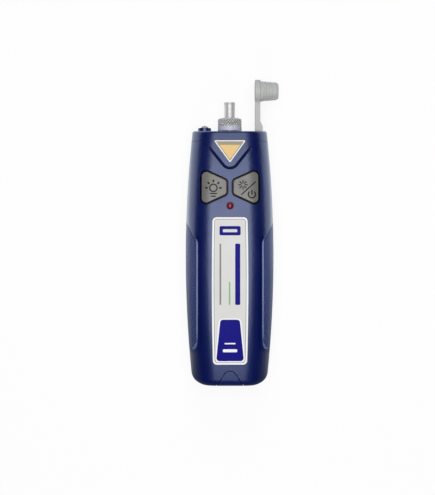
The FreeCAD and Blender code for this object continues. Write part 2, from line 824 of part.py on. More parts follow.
# Dust cap and strap
strap_low = port_height - strap_width / 2
strap_high = port_height + strap_width / 2
gusset_x = strap_offset + strap_thick + gusset_reach
gusset_profile = [
    Vector(strap_offset, nose_inner_y, strap_low),
    Vector(gusset_x, nose_inner_y, strap_low),
    Vector(gusset_x, nose_y + gusset_height, strap_low),
    Vector(strap_offset + strap_thick, nose_y + gusset_height + gusset_taper, strap_low),
    Vector(strap_offset + strap_thick, hinge_y, strap_low),
    Vector(strap_offset, hinge_y, strap_low),
]
gusset_face = Part.Face(Part.makePolygon(gusset_profile + [gusset_profile[0]]))
strap_upright = gusset_face.extrude(Vector(0, 0, strap_width)).cut(outer)
strap_neck = box(strap_offset + press_gap, strap_offset + strap_thick - press_gap,
                 anchor_tail_y, nose_y + overlap, strap_low + press_gap, strap_high - press_gap)
strap_anchor = box(strap_offset - anchor_spread, strap_offset + strap_thick + anchor_spread,
                   anchor_tail_y, nose_inner_y, port_height - anchor_half, port_height + anchor_half)
strap_root = joined(strap_upright, [strap_neck, strap_anchor])

swing_reach = math.hypot(strap_offset + sleeve_diameter / 2 + sleeve_lip, sleeve_tip_y - hinge_y) + cap_gap
cap_bore = sleeve_diameter + 2 * sleeve_lip + 2 * cap_gap
cap_x = strap_offset
cap_end_x = cap_x + cap_length
cap_profile = [
    (0, cap_x),
    (cap_flange / 2, cap_x),
    (cap_flange / 2, cap_x + strap_thick),
    (cap_mouth_diameter / 2, cap_x + strap_thick),
    (cap_end_diameter / 2, cap_end_x - cap_chamfer),
    (cap_end_diameter / 2 - cap_chamfer * 0.6, cap_end_x),
    (0, cap_end_x),
]
cap_corners = [Vector(x, cap_axis_y + r, port_height) for r, x in cap_profile]
cap_face = Part.Face(Part.makePolygon(cap_corners + cap_corners[:1]))
cap_blank = cap_face.revolve(Vector(0, cap_axis_y, port_height), Vector(1, 0, 0), 360)
strap_arm = box(strap_offset, strap_offset + strap_thick, hinge_y, cap_axis_y, strap_low, strap_high)
dust_cap = joined(cap_blank, [strap_arm])
straight_bore = Part.makeCylinder(cap_bore / 2, cap_bore_depth,
                                  Vector(cap_x, cap_axis_y, port_height), Vector(1, 0, 0))
mouth_shift = swing_reach - strap_offset - cap_bore / 2
shifted_bore = Part.makeCylinder(cap_bore / 2, cap_bore_depth,
                                 Vector(cap_x, cap_axis_y + mouth_shift, port_height), Vector(1, 0, 0))
between_bores = box(cap_x, cap_x + cap_bore_depth, cap_axis_y, cap_axis_y + mouth_shift,
                    port_height - cap_bore / 2, port_height + cap_bore / 2)
swept_foot = Vector(strap_offset, hinge_y, port_height - strap_width * 1.5)
swept_room = Part.makeCylinder(swing_reach, strap_width * 3, swept_foot, Vector(0, 0, 1))
mouth_relief = shifted_bore.fuse(between_bores).common(swept_room)
dust_cap = dust_cap.cut(straight_bore).cut(mouth_relief)

# Circuit board with its switches and parts
board_foot = board_height - board_thick
board_points = [
    (-board_width / 2, board_tail_y),
    (board_width / 2, board_tail_y),
    (board_width / 2, board_head_y),
    (-board_width / 2, board_head_y),
]
circuit_board = prism(board_points, [board_round] * 4, 0.0, board_foot, board_height)
for x, y in board_screw_places:
    circuit_board = circuit_board.cut(rod_up(x, y, board_foot - 1, board_height + 1, board_screw + 2 * fit))


def tactile_switch(x):
    half = switch_size / 2
    base = box(x - half, x + half, button_y - half, button_y + half,
               board_height, board_height + switch_height)
    return base.fuse(rod_up(x, button_y, board_height + switch_height, stem_top, stem_diameter))


torch_switch = tactile_switch(-switch_x)
laser_switch = tactile_switch(switch_x)
chip_y = board_tail_y + chip_from_tail_edge
driver_chip = box(-chip_width / 2, chip_width / 2, chip_y, chip_y + chip_length,
                  board_height, board_height + chip_height)
capacitor_x = board_width / 2 - capacitor_diameter
capacitor_top = board_height + capacitor_height
supply_capacitor = rod_up(capacitor_x, chip_y, board_height, capacitor_top, capacitor_diameter)


# Cells and contacts
def cell(x, foot_y, way):
    foot = Vector(x, foot_y, cell_z)
    can = Part.makeCylinder(cell_diameter / 2, cell_length - nub_height, foot, Vector(0, way, 0))
    nub = Part.makeCylinder(nub_diameter / 2, cell_length, foot, Vector(0, way, 0))
    return can.fuse(nub).removeSplitter()


def contact(x, y, half, way, dimpled):
    low = cell_z - contact_height / 2
    plate_foot = Vector(x - half, min(y, y + way * contact_thick), low)
    plate = Part.makeBox(2 * half, contact_thick, contact_height, plate_foot)
    if not dimpled:
        return plate
    start = Vector(dimpled, y + way * contact_thick / 2, cell_z)
    dimple_rise = contact_thick / 2 + dimple_height
    dimple = Part.makeCylinder(dimple_diameter / 2, dimple_rise, start, Vector(0, way, 0))
    return plate.fuse(dimple).removeSplitter()


def bow(x, y, span, rise):
    ends = [Vector(x, y, cell_z - span / 2), Vector(x, y, cell_z + span / 2)]
    return Part.Arc(ends[0], Vector(x, y + rise, cell_z), ends[1]).toShape()


def leaf_spring(x, y, way):
    side = x - spring_width / 2
    outside = bow(side, y, spring_span, way * spring_height)
    inside = bow(side, y, spring_span - 3 * spring_leaf, way * (spring_height - spring_leaf))
    feet = [Part.makeLine(a.Point, b.Point) for a, b in zip(outside.Vertexes, inside.Vertexes)]
    strip = Part.Face(Part.Wire(Part.sortEdges([outside, inside] + feet)[0]))
    return strip.extrude(Vector(spring_width, 0, 0))


cell_x = cell_spacing / 2
spring_room = contact_thick + spring_height + fit / 2
left_cell = cell(-cell_x, bay_tail_y + spring_room, 1)
right_cell = cell(cell_x, bay_head_y - spring_room, -1)
bridge_contact = contact(0, bay_tail_y, cell_x + contact_width / 2, 1, cell_x)
tail_spring = leaf_spring(-cell_x, bay_tail_y + contact_thick, 1)
positive_contact = contact(-cell_x, bay_head_y, contact_width / 2, -1, -cell_x)
negative_contact = contact(cell_x, bay_head_y, contact_width / 2, -1, 0)
head_spring = leaf_spring(cell_x, bay_head_y - contact_thick, -1)


# Screws, driven from the back
def screw(x, y, head_foot, head_height, head, shank, length):
    blank = rod_up(x, y, head_foot, head_foot + head_height, head)
    blank = blank.fuse(rod_up(x, y, head_foot, head_foot + head_height + length, shank)).removeSplitter()
    arm = head * 0.34
    half = drive_width / 2
    slot = box(x - arm, x + arm, y - half, y + half, head_foot - 1, head_foot + drive_depth)
    cross = box(x - half, x + half, y - arm, y + arm, head_foot - 1, head_foot + drive_depth)
    return blank.cut(slot.fuse(cross))


case_screws = Part.makeCompound([
    screw(x, y, case_screw_sink, case_screw_head_height, case_screw_head, case_screw, case_screw_length)
    for x, y in case_screw_places])
board_screws = Part.makeCompound([
    screw(x, y, board_foot - board_screw_head_height, board_screw_head_height, board_screw_head, board_screw,
          board_screw_length)
    for x, y in board_screw_places])

os.makedirs("parts", exist_ok=True)
pieces = {
    "front_shell": front_shell,
    "rear_shell": rear_shell,
    "nose_cap": nose_cap,
    "left_grip": left_grip,
    "right_grip": right_grip,
    "label_plate": label_plate,
    "triangle_inlay": triangle_inlay,
    "torch_button": torch_button,
    "laser_button": laser_button,
    "indicator_lamp": indicator_lamp,
    "lamp_spacer": lamp_spacer,
    "torch_lamp": torch_lamp,
    "connector_collar": connector_collar,
    "coupling_nut": coupling_nut,
    "adapter_sleeve": adapter_sleeve,
    "split_sleeve": split_sleeve,
    "ferrule_stub": ferrule_stub,
    "lock_nut": lock_nut,
    "laser_barrel": laser_barrel,
    "laser_diode": laser_diode,
    "strap_root": strap_root,
    "dust_cap": dust_cap,
    "circuit_board": circuit_board,
    "torch_switch": torch_switch,
    "laser_switch": laser_switch,
    "driver_chip": driver_chip,
    "supply_capacitor": supply_capacitor,
    "battery_door": battery_door,
    "left_cell": left_cell,
    "right_cell": right_cell,
    "bridge_contact": bridge_contact,
    "positive_contact": positive_contact,
    "negative_contact": negative_contact,
    "tail_spring": tail_spring,
    "head_spring": head_spring,
    "case_screws": case_screws,
    "board_screws": board_screws,
}
for name, shape in pieces.items():
    shape.exportStep("parts/" + name + ".step")
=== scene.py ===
import bpy
import math
from mathutils import Matrix, Vector


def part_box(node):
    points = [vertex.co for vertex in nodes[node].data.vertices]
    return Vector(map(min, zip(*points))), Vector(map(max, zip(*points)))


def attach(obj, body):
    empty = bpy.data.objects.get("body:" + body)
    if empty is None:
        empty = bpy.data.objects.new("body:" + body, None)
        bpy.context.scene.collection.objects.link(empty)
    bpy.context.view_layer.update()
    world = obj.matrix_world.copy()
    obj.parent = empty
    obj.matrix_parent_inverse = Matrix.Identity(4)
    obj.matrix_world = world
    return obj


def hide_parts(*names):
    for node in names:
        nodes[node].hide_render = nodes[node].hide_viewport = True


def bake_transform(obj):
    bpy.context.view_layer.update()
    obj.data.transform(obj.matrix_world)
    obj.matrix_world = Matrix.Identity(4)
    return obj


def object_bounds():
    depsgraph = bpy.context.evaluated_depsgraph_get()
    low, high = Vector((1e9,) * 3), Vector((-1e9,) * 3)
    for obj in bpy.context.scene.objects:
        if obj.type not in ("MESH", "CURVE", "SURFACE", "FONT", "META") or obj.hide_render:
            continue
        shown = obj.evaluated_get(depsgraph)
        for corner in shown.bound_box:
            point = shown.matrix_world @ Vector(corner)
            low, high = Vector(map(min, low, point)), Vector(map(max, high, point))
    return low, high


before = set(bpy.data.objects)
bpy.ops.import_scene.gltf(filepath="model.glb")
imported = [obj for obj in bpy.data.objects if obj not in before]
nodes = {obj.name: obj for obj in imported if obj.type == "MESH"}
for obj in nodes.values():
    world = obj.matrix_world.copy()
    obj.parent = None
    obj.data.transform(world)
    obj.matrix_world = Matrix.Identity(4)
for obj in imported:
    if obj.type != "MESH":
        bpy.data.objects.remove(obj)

# a hand-held light for finding faults in fibre: finish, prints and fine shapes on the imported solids
mm = 0.001
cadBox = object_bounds()
collection = bpy.context.scene.collection
print("frame loaded with", len(nodes), "nodes")


# small helpers for selecting, editing and finishing
def deselect():
    bpy.ops.object.select_all(action="DESELECT")


def pick(piece):
    deselect()
    piece.select_set(True)
    bpy.context.view_layer.objects.active = piece


def leaveEdit():
    bpy.ops.object.mode_set(mode="OBJECT")


def editAll(piece):
    pick(piece)
    bpy.ops.object.mode_set(mode="EDIT")
    bpy.ops.mesh.select_all(action="SELECT")


# opens a piece for editing with only the faces that pass a test selected
def editFaces(piece, wanted):
    pick(piece)
    bpy.ops.object.mode_set(mode="EDIT")
    bpy.ops.mesh.select_mode(type="FACE")
    bpy.ops.mesh.select_all(action="DESELECT")
    leaveEdit()
    for polygon in piece.data.polygons:
        polygon.select = wanted(polygon)
    bpy.ops.object.mode_set(mode="EDIT")


# gives the faces that pass a test a second material
def paintFaces(piece, material, wanted):
    piece.data.materials.append(material)
    editFaces(piece, wanted)
    piece.active_material_index = 1
    bpy.ops.object.material_slot_assign()
    leaveEdit()


def applyModifier(piece, kind, settings):
    pick(piece)
    bpy.ops.object.modifier_add(type=kind)
    modifier = piece.modifiers[-1]
    for name, value in settings.items():
        setattr(modifier, name, value)
    bpy.ops.object.modifier_apply(modifier=modifier.name)


def applyPlace(piece):
    pick(piece)
    bpy.ops.object.transform_apply(location=True, rotation=True, scale=True)


def joinPieces(name, parts):
    deselect()
    for part in parts:
        part.select_set(True)
    bpy.context.view_layer.objects.active = parts[0]
    bpy.ops.object.join()
    piece = bpy.context.object
    piece.name = name
    return piece


def mergeDoubles(piece, gap=0.001):
    editAll(piece)
    bpy.ops.mesh.remove_doubles(threshold=gap * mm)
    leaveEdit()


def faceOutwards(piece):
    editAll(piece)
    bpy.ops.mesh.normals_make_consistent(inside=False)
    leaveEdit()


def smoothShade(piece, angle=30):
    pick(piece)
    bpy.ops.object.shade_smooth_by_angle(angle=math.radians(angle))


def finishPiece(piece, material, body, stoodFor=()):
    piece.data.materials.clear()
    piece.data.materials.append(material)
    if body:
        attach(piece, body)
    if stoodFor:
        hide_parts(*stoodFor)
    return piece


# a merged, smooth-shaded copy of CAD nodes
def copyNodes(name, nodeNames):
    parts = []
    for nodeName in nodeNames:
        part = bpy.data.objects.new(name, nodes[nodeName].data.copy())
        collection.objects.link(part)
        parts.append(part)
    piece = joinPieces(name, parts)
    mergeDoubles(piece)
    pick(piece)
    if piece.data.has_custom_normals:
        bpy.ops.mesh.customdata_custom_splitnormals_clear()
    smoothShade(piece)
    applyModifier(piece, "WEIGHTED_NORMAL", {"weight": 70, "keep_sharp": True})
    return piece


# materials: colours as sRGB hex, pattern sizes in millimetres
def linear(hexCode):
    channels = [int(hexCode[i:i + 2], 16) / 255 for i in (1, 3, 5)]
    return (*[c / 12.92 if c <= 0.04045 else ((c + 0.055) / 1.055) ** 2.4 for c in channels], 1.0)


def addNode(tree, kind, settings=None, links=None):
    node = tree.nodes.new(kind)
    for name, value in (settings or {}).items():
        if isinstance(name, int) or name in node.inputs:
            node.inputs[name].default_value = value
        else:
            setattr(node, name, value)
    for name, source in (links or {}).items():
        tree.links.new(source, node.inputs[name])
    return node


def startMaterial(name):
    material = bpy.data.materials.new(name)
    material.use_nodes = True
    tree = material.node_tree
    shader = tree.nodes["Principled BSDF"]
    place = addNode(tree, "ShaderNodeTexCoord").outputs["Object"]
    return material, tree, shader, place


colourA, colourB, colourOut = 6, 7, 2  # the mix node's sockets that carry colour
noiseRange = {"From Min": 0.3, "From Max": 0.7}  # most of a noise's values lie in here

# moulded thermoplastic: spark-eroded grain, a soft sheen that breaks up, paler on rubbed edges;
# a lacquered one has a second, clear sheen that whitens where it is seen at a slant.
# real grain is too fine to show, so it is drawn coarser
plastic = {"grainRange": {"From Min": 0.35, "From Max": 0.7},
           "edgeRange": {"From Min": 0.54, "From Max": 0.68}, "glossier": 0.05, "duller": 0.06}


def mouldedPlastic(name, look):
    material, tree, shader, place = startMaterial(name)
    grain = addNode(tree, "ShaderNodeTexNoise", {"Scale": 1 / (look["grain"] * mm), "Detail": 3.0},
                    {"Vector": place})
    cloud = addNode(tree, "ShaderNodeTexNoise", {"Scale": 1 / (look["cloud"] * mm), "Detail": 4.0},
                    {"Vector": place})
    speck = addNode(tree, "ShaderNodeMapRange",
                    {**plastic["grainRange"], "To Min": 0.0, "To Max": look["speck"]},
                    {"Value": grain.outputs[0]})
    toned = addNode(tree, "ShaderNodeMix",
                    {"data_type": "RGBA", colourA: linear(look["base"]), colourB: linear(look["pale"])},
                    {"Factor": speck.outputs[0]})
    mottled = addNode(tree, "ShaderNodeMix",
                      {"data_type": "RGBA", "blend_type": "MULTIPLY", "Factor": look["mottle"]},
                      {colourA: toned.outputs[colourOut], colourB: cloud.outputs[1]})
    edge = addNode(tree, "ShaderNodeNewGeometry")
    rubbed = addNode(tree, "ShaderNodeMapRange",
                     {**plastic["edgeRange"], "To Min": 0.0, "To Max": look["wear"]},
                     {"Value": edge.outputs["Pointiness"]})
    worn = addNode(tree, "ShaderNodeMix", {"data_type": "RGBA", colourB: linear(look["pale"])},
                   {"Factor": rubbed.outputs[0], colourA: mottled.outputs[colourOut]})
    tree.links.new(worn.outputs[colourOut], shader.inputs["Base Color"])
    gloss = addNode(tree, "ShaderNodeMapRange",
                    {**noiseRange, "To Min": look["rough"] - plastic["glossier"],
                     "To Max": look["rough"] + plastic["duller"]},
                    {"Value": cloud.outputs[0]})
    tree.links.new(gloss.outputs[0], shader.inputs["Roughness"])
    bump = addNode(tree, "ShaderNodeBump", {"Strength": look["bump"], "Distance": look["depth"] * mm},
                   {"Height": grain.outputs[0]})
    tree.links.new(bump.outputs[0], shader.inputs["Normal"])
    shader.inputs["IOR"].default_value = look["ior"]
    if "glint" in look:
        shader.inputs["Specular Tint"].default_value = linear(look["glint"])
        shader.inputs["Coat Weight"].default_value = look["coat"]
        shader.inputs["Coat Roughness"].default_value = look["coatRough"]
    return material


# turned and plated metal: lathe rings along the port's axis, small stains in the shine;
# the rings are drawn coarser than real ones, to show
metal = {"bandsPerUnit": 3.2, "wander": 0.6, "ringDeep": 0.01, "glossier": 0.06, "duller": 0.08}


def turnedMetal(name, look):
    material, tree, shader, place = startMaterial(name)
    rings = addNode(tree, "ShaderNodeTexWave",
                    {"bands_direction": "Y", "Scale": 1 / (look["ring"] * mm * metal["bandsPerUnit"]),
                     "Distortion": metal["wander"], "Detail": 2.0},
                    {"Vector": place})
    stain = addNode(tree, "ShaderNodeTexNoise", {"Scale": 1 / (look["stain"] * mm), "Detail": 5.0},
                    {"Vector": place})
    toned = addNode(tree, "ShaderNodeMix",
                    {"data_type": "RGBA", colourA: linear(look["base"]), colourB: linear(look["dull"])},
                    {"Factor": stain.outputs[0]})
    tree.links.new(toned.outputs[colourOut], shader.inputs["Base Color"])
    gloss = addNode(tree, "ShaderNodeMapRange",
                    {**noiseRange, "To Min": look["rough"] - metal["glossier"],
                     "To Max": look["rough"] + metal["duller"]},
                    {"Value": stain.outputs[0]})
    tree.links.new(gloss.outputs[0], shader.inputs["Roughness"])
    bump = addNode(tree, "ShaderNodeBump", {"Strength": look["bump"], "Distance": metal["ringDeep"] * mm},
                   {"Height": rings.outputs[1]})
    tree.links.new(bump.outputs[0], shader.inputs["Normal"])
    shader.inputs["Metallic"].default_value = look["metal"]
    return material


# printed film: flat ink with a faint screen texture under a satin coat
printed = {"wash": 14.0, "screenBump": 0.08, "screenDeep": 0.01, "specular": 0.16, "glossier": 0.04,
           "duller": 0.05}


def printedFilm(name, look):
    material, tree, shader, place = startMaterial(name)
    screen = addNode(tree, "ShaderNodeTexNoise", {"Scale": 1 / (look["screen"] * mm), "Detail": 2.0},
                     {"Vector": place})
    wash = addNode(tree, "ShaderNodeTexNoise", {"Scale": 1 / (printed["wash"] * mm), "Detail": 3.0},
                   {"Vector": place})
    ink = addNode(tree, "ShaderNodeMix",
                  {"data_type": "RGBA", colourA: linear(look["base"]), colourB: linear(look["shade"])},
                  {"Factor": wash.outputs[0]})
    tree.links.new(ink.outputs[colourOut], shader.inputs["Base Color"])
    gloss = addNode(tree, "ShaderNodeMapRange",
                    {**noiseRange, "To Min": look["rough"] - printed["glossier"],
                     "To Max": look["rough"] + printed["duller"]},
                    {"Value": wash.outputs[0]})
    tree.links.new(gloss.outputs[0], shader.inputs["Roughness"])
    bump = addNode(tree, "ShaderNodeBump",
                   {"Strength": printed["screenBump"], "Distance": printed["screenDeep"] * mm},
                   {"Height": screen.outputs[0]})
    tree.links.new(bump.outputs[0], shader.inputs["Normal"])
    shader.inputs["Specular IOR Level"].default_value = printed["specular"]
    return material


# cast epoxy lens: clear or tinted, with slight flow in the gloss
epoxy = {"duller": 0.05}


def castEpoxy(name, look):
    material, tree, shader, place = startMaterial(name)
    flow = addNode(tree, "ShaderNodeTexNoise", {"Scale": 1 / (look["flow"] * mm), "Detail": 2.0},
                   {"Vector": place})
    tint = addNode(tree, "ShaderNodeMix",
                   {"data_type": "RGBA", colourA: linear(look["base"]), colourB: linear(look["deep"])},
                   {"Factor": flow.outputs[0]})
    tree.links.new(tint.outputs[colourOut], shader.inputs["Base Color"])
    gloss = addNode(tree, "ShaderNodeMapRange",
                    {**noiseRange, "To Min": look["rough"], "To Max": look["rough"] + epoxy["duller"]},
                    {"Value": flow.outputs[0]})
    tree.links.new(gloss.outputs[0], shader.inputs["Roughness"])
    shader.inputs["Transmission Weight"].default_value = look["clear"]
    shader.inputs["IOR"].default_value = look["ior"]
    return material


# lacquered ABS shell: deep navy with a fine grain, turning bluish white at a slant
navyLook = {"base": "#010e50", "pale": "#14286e", "grain": 0.7, "cloud": 18.0, "speck": 0.25, "mottle": 0.2,
            "wear": 0.3, "rough": 0.34, "bump": 0.9, "depth": 0.05, "ior": 1.9, "glint": "#b9d0ff",
            "coat": 1.0, "coatRough": 0.31}
navyAbs = mouldedPlastic("navyAbsMoulded", navyLook)
# painted shade down in the seam's valley: a darker navy, rougher and without the coat, so that no sheen shows
valleyShadeLook = {"base": "#020a3c", "pale": "#0a1750", "grain": 0.7, "cloud": 18.0, "speck": 0.2, "mottle": 0.2,
              "wear": 0.0, "rough": 0.7, "bump": 0.4, "depth": 0.04, "ior": 1.4}
navyValleyShade = mouldedPlastic("navyAbsValleyShade", valleyShadeLook)
# the grips' lips, a paler navy painted as the highlight along their tops
lipHighlightLook = {"base": "#2c3868", "pale": "#4c5a8a", "grain": 0.7, "cloud": 9.0, "speck": 0.4, "mottle": 0.15,
           "wear": 0.4, "rough": 0.36, "bump": 0.5, "depth": 0.04, "ior": 1.9, "glint": "#b9d0ff",
           "coat": 1.0, "coatRough": 0.31}
navyLipHighlight = mouldedPlastic("navyAbsLipHighlight", lipHighlightLook)
# the lips' lower ends, paler still: a painted highlight on their curved feet
lipEndHighlightLook = {**lipHighlightLook, "base": "#5c6a9c", "pale": "#7b88b2"}
navyLipEndHighlight = mouldedPlastic("navyAbsLipEndHighlight", lipEndHighlightLook)
# dotted grip: a greyer, paler navy than the shell, a painted sheen for the light that each dot's edge
# catches; rubbed pale round the dots
gripSheenLook = {"base": "#12256a", "pale": "#384b84", "grain": 0.5, "cloud": 12.0, "speck": 0.4, "mottle": 0.2,
            "wear": 0.5, "rough": 0.4, "bump": 0.5, "depth": 0.04, "ior": 1.95, "glint": "#b9d0ff",
            "coat": 0.8, "coatRough": 0.34}
gripAbsPaintedSheen = mouldedPlastic("gripAbsDottedSheen", gripSheenLook)
# satin keys: an even warm grey
keyLook = {"base": "#6c6b66", "pale": "#7e7d78", "grain": 0.5, "cloud": 7.0, "speck": 0.5, "mottle": 0.2,
           "wear": 0.15, "rough": 0.38, "bump": 0.2, "depth": 0.03, "ior": 1.85}
keyAbs = mouldedPlastic("keyAbsSatin", keyLook)
# soft elastomer: pale, dull grey with hardly a highlight
capLook = {"base": "#bbbdbb", "pale": "#c9cbc9", "grain": 0.8, "cloud": 6.0, "speck": 0.4, "mottle": 0.12,
           "wear": 0.2, "rough": 0.5, "bump": 0.15, "depth": 0.04, "ior": 1.48}
capElastomer = mouldedPlastic("capElastomerMoulded", capLook)
# moulded nylon: near black with a dull sheen; on the keys' skirts the same black is painted shade
blackAndShadeLook = {"base": "#101011", "pale": "#1d1d1f", "grain": 0.4, "cloud": 5.0, "speck": 0.4, "mottle": 0.15,
             "wear": 0.2, "rough": 0.45, "bump": 0.2, "depth": 0.02, "ior": 1.5}
blackNylonAndShade = mouldedPlastic("blackNylonMouldedAndShade", blackAndShadeLook)
# ground zirconia: ivory white with a clean gloss
zirconiaLook = {"base": "#e9e6dc", "pale": "#f4f2ea", "grain": 0.3, "cloud": 2.0, "speck": 0.4,
                "mottle": 0.08, "wear": 0.1, "rough": 0.22, "bump": 0.05, "depth": 0.01, "ior": 2.1}
zirconia = mouldedPlastic("zirconiaGround", zirconiaLook)
# solder mask: clear green, a little uneven, half glossy
maskLook = {"base": "#0d5a2c", "pale": "#1c7a40", "grain": 1.6, "cloud": 4.0, "speck": 0.6, "mottle": 0.2,
            "wear": 0.2, "rough": 0.35, "bump": 0.3, "depth": 0.04, "ior": 1.5}
solderMask = mouldedPlastic("solderMaskCoated", maskLook)
# shrunk wrap: plain slate grey with a soft gloss
wrapLook = {"base": "#4a5158", "pale": "#6a727a", "grain": 0.6, "cloud": 9.0, "speck": 0.35, "mottle": 0.2,
            "wear": 0.3, "rough": 0.3, "bump": 0.1, "depth": 0.02, "ior": 1.5}
cellWrap = mouldedPlastic("cellWrapShrunk", wrapLook)

# turned nickel plate: pale, with a soft bright streak along each round
nickelLook = {"base": "#f4f4f3", "dull": "#e4e4e3", "ring": 0.3, "stain": 2.4, "rough": 0.5, "bump": 0.2,
              "metal": 0.6}
nickelPlate = turnedMetal("nickelPlateTurned", nickelLook)
# dull grey-green in the knurl's grooves, partly grime and partly painted shade, which draws its crossing
# lines
grooveGrimeShadeLook = {"base": "#7d817c", "dull": "#696d68", "ring": 0.3, "stain": 1.2, "rough": 0.6, "bump": 0.2,
              "metal": 0.3}
nickelGrooveGrimeShade = turnedMetal("nickelPlateGrimeAndShade", grooveGrimeShadeLook)
# blasted before plating: flat, without the sleeve's bright streak; its faint blue is a painted reflection
collarReflectionLook = {"base": "#dadde9", "dull": "#cbcedb", "ring": 0.5, "stain": 2.4, "rough": 0.66, "bump": 0.2,
              "metal": 0.35}
nickelCollarBlueReflection = turnedMetal("nickelPlateBlastedBlueReflection", collarReflectionLook)
# zinc plate on steel: darker and more stained than the nickel
zincLook = {"base": "#b9bbbd", "dull": "#8f9194", "ring": 0.4, "stain": 1.2, "rough": 0.36, "bump": 0.2,
            "metal": 1.0}
zincPlate = turnedMetal("zincPlateSteel", zincLook)
# turned brass: warm yellow with lathe rings
brassLook = {"base": "#d8b268", "dull": "#b58f48", "ring": 0.35, "stain": 2.0, "rough": 0.3, "bump": 0.25,
             "metal": 1.0}
brassTurned = turnedMetal("brassTurned", brassLook)
# drawn aluminium: pale and smooth, the shiniest metal here
canLook = {"base": "#cfd2d6", "dull": "#b4b8bd", "ring": 0.5, "stain": 3.0, "rough": 0.28, "bump": 0.15,
           "metal": 1.0}
canAluminium = turnedMetal("aluminiumDrawn", canLook)

# tinted epoxy: ruby, with the pale cup showing through
redLook = {"base": "#a3153c", "deep": "#8a1134", "flow": 1.5, "rough": 0.3, "clear": 0.35, "ior": 2.0}
redEpoxy = castEpoxy("redEpoxyCast", redLook)
# clear epoxy: glassy, with the cup inside in plain view
clearLook = {"base": "#f2f6f8", "deep": "#e4ebee", "flow": 2.0, "rough": 0.04, "clear": 0.6, "ior": 1.53}
clearEpoxy = castEpoxy("clearEpoxyCast", clearLook)

# ink on the keys and films on the plates: flat colours, each a little uneven
inkLook = {"base": "#2b2823", "shade": "#221f1b", "screen": 0.3, "rough": 0.5}
keyInk = printedFilm("keyInkPadPrinted", inkLook)
whiteFilmLook = {"base": "#f7f7f6", "shade": "#efefee", "screen": 0.35, "rough": 0.5}
whiteFilm = printedFilm("whiteFilmPrinted", whiteFilmLook)
silverFilmLook = {"base": "#dededc", "shade": "#d2d2d0", "screen": 0.35, "rough": 0.5}
silverFilm = printedFilm("silverFilmPrinted", silverFilmLook)
greyFilmLook = {"base": "#8f9092", "shade": "#7f8082", "screen": 0.3, "rough": 0.5}
greyFilm = printedFilm("greyFilmPrinted", greyFilmLook)
blueFilmLook = {"base": "#0e0b86", "shade": "#0b0874", "screen": 0.35, "rough": 0.5}
blueFilm = printedFilm("blueFilmPrinted", blueFilmLook)
greenFilmLook = {"base": "#8fbf86", "shade": "#7fae76", "screen": 0.3, "rough": 0.5}
greenFilm = printedFilm("greenFilmPrinted", greenFilmLook)
creamFilmLook = {"base": "#eed198", "shade": "#e5c080", "screen": 0.35, "rough": 0.45}
creamFilm = printedFilm("creamFilmPrinted", creamFilmLook)
stripFilmLook = {"base": "#b0a794", "shade": "#99907e", "screen": 0.3, "rough": 0.5}
stripFilm = printedFilm("stripFilmPrinted", stripFilmLook)
print("materials made:", len(bpy.data.materials))


# pieces whose CAD shape is right: copied, merged and shaded smooth; node, material, body and slot
carriedOver = [
    ("front_shell", navyAbs, "housing", "housing"),
    ("rear_shell", navyAbs, "housing", "housing"),
    ("nose_cap", navyAbs, "housing", "housing"),
    ("battery_door", navyAbs, "battery_door", "housing"),
    ("indicator_lamp", redEpoxy, "housing", "red_lens"),
    ("lamp_spacer", blackNylonAndShade, "housing", "black_plastic"),
    ("torch_lamp", clearEpoxy, "housing", "clear_lens"),
    # the collar's faint blue is a painted reflection
    ("connector_collar", nickelCollarBlueReflection, "housing", "nickel"),
    ("adapter_sleeve", nickelPlate, "housing", "nickel"),
    ("split_sleeve", zirconia, "housing", "zirconia"),
    ("ferrule_stub", zirconia, "housing", "zirconia"),
    ("lock_nut", nickelPlate, "housing", "nickel"),
    ("laser_barrel", brassTurned, "housing", "brass"),
    ("laser_diode", zincPlate, "housing", "steel"),
    ("circuit_board", solderMask, "housing", "board"),
    ("torch_switch", blackNylonAndShade, "housing", "black_plastic"),
    ("laser_switch", blackNylonAndShade, "housing", "black_plastic"),
    ("driver_chip", blackNylonAndShade, "housing", "black_plastic"),
    ("supply_capacitor", canAluminium, "housing", "aluminium"),
    ("left_cell", cellWrap, "housing", "cell"),
    ("right_cell", cellWrap, "housing", "cell"),
    ("bridge_contact", nickelPlate, "housing", "nickel"),
    ("positive_contact", nickelPlate, "housing", "nickel"),
    ("negative_contact", nickelPlate, "housing", "nickel"),
    ("tail_spring", zincPlate, "housing", "steel"),
    ("head_spring", zincPlate, "housing", "steel"),
    ("case_screws", zincPlate, "housing", "steel"),
    ("board_screws", zincPlate, "housing", "steel"),
]
for nodeName, material, body, slotName in carriedOver:
    finishPiece(copyNodes(nodeName + "_finished", [nodeName]), material, body, [nodeName])
print("carried over:", len(carriedOver))


# the housing's front: a long crown, bowed and drafted sides, and a wide shoulder between
front = {"crownY": -10.55, "crownZ": 26.0, "crownRadius": 351.3, "half": 21.5, "bowRadius": 570.6,
         "parting": 8.0, "draft": math.radians(8), "shoulder": 12.0}


def shoulderCentre(y):
    crown = front["crownZ"] - (y - front["crownY"]) ** 2 / 2 / front["crownRadius"]
    half = front["half"] - y * y / 2 / front["bowRadius"]
    corner = half - (crown - front["parting"]) * math.tan(front["draft"])
    inward = front["shoulder"] * math.tan((math.pi / 2 - front["draft"]) / 2)
    return corner - inward, crown - front["shoulder"]


def frontHeight(x, y):
    centreX, centreZ = shoulderCentre(y)
    over = min(max(abs(x) - centreX, 0.0), front["shoulder"])
    return centreZ + math.sqrt(front["shoulder"] ** 2 - over ** 2)


# the valley round the nose cap's V-shaped tongue
valley = {"root": (12.58, 56.05), "tip": 39.95, "tipRound": 4.0, "half": 0.5, "below": 1.2, "end": 52.8}


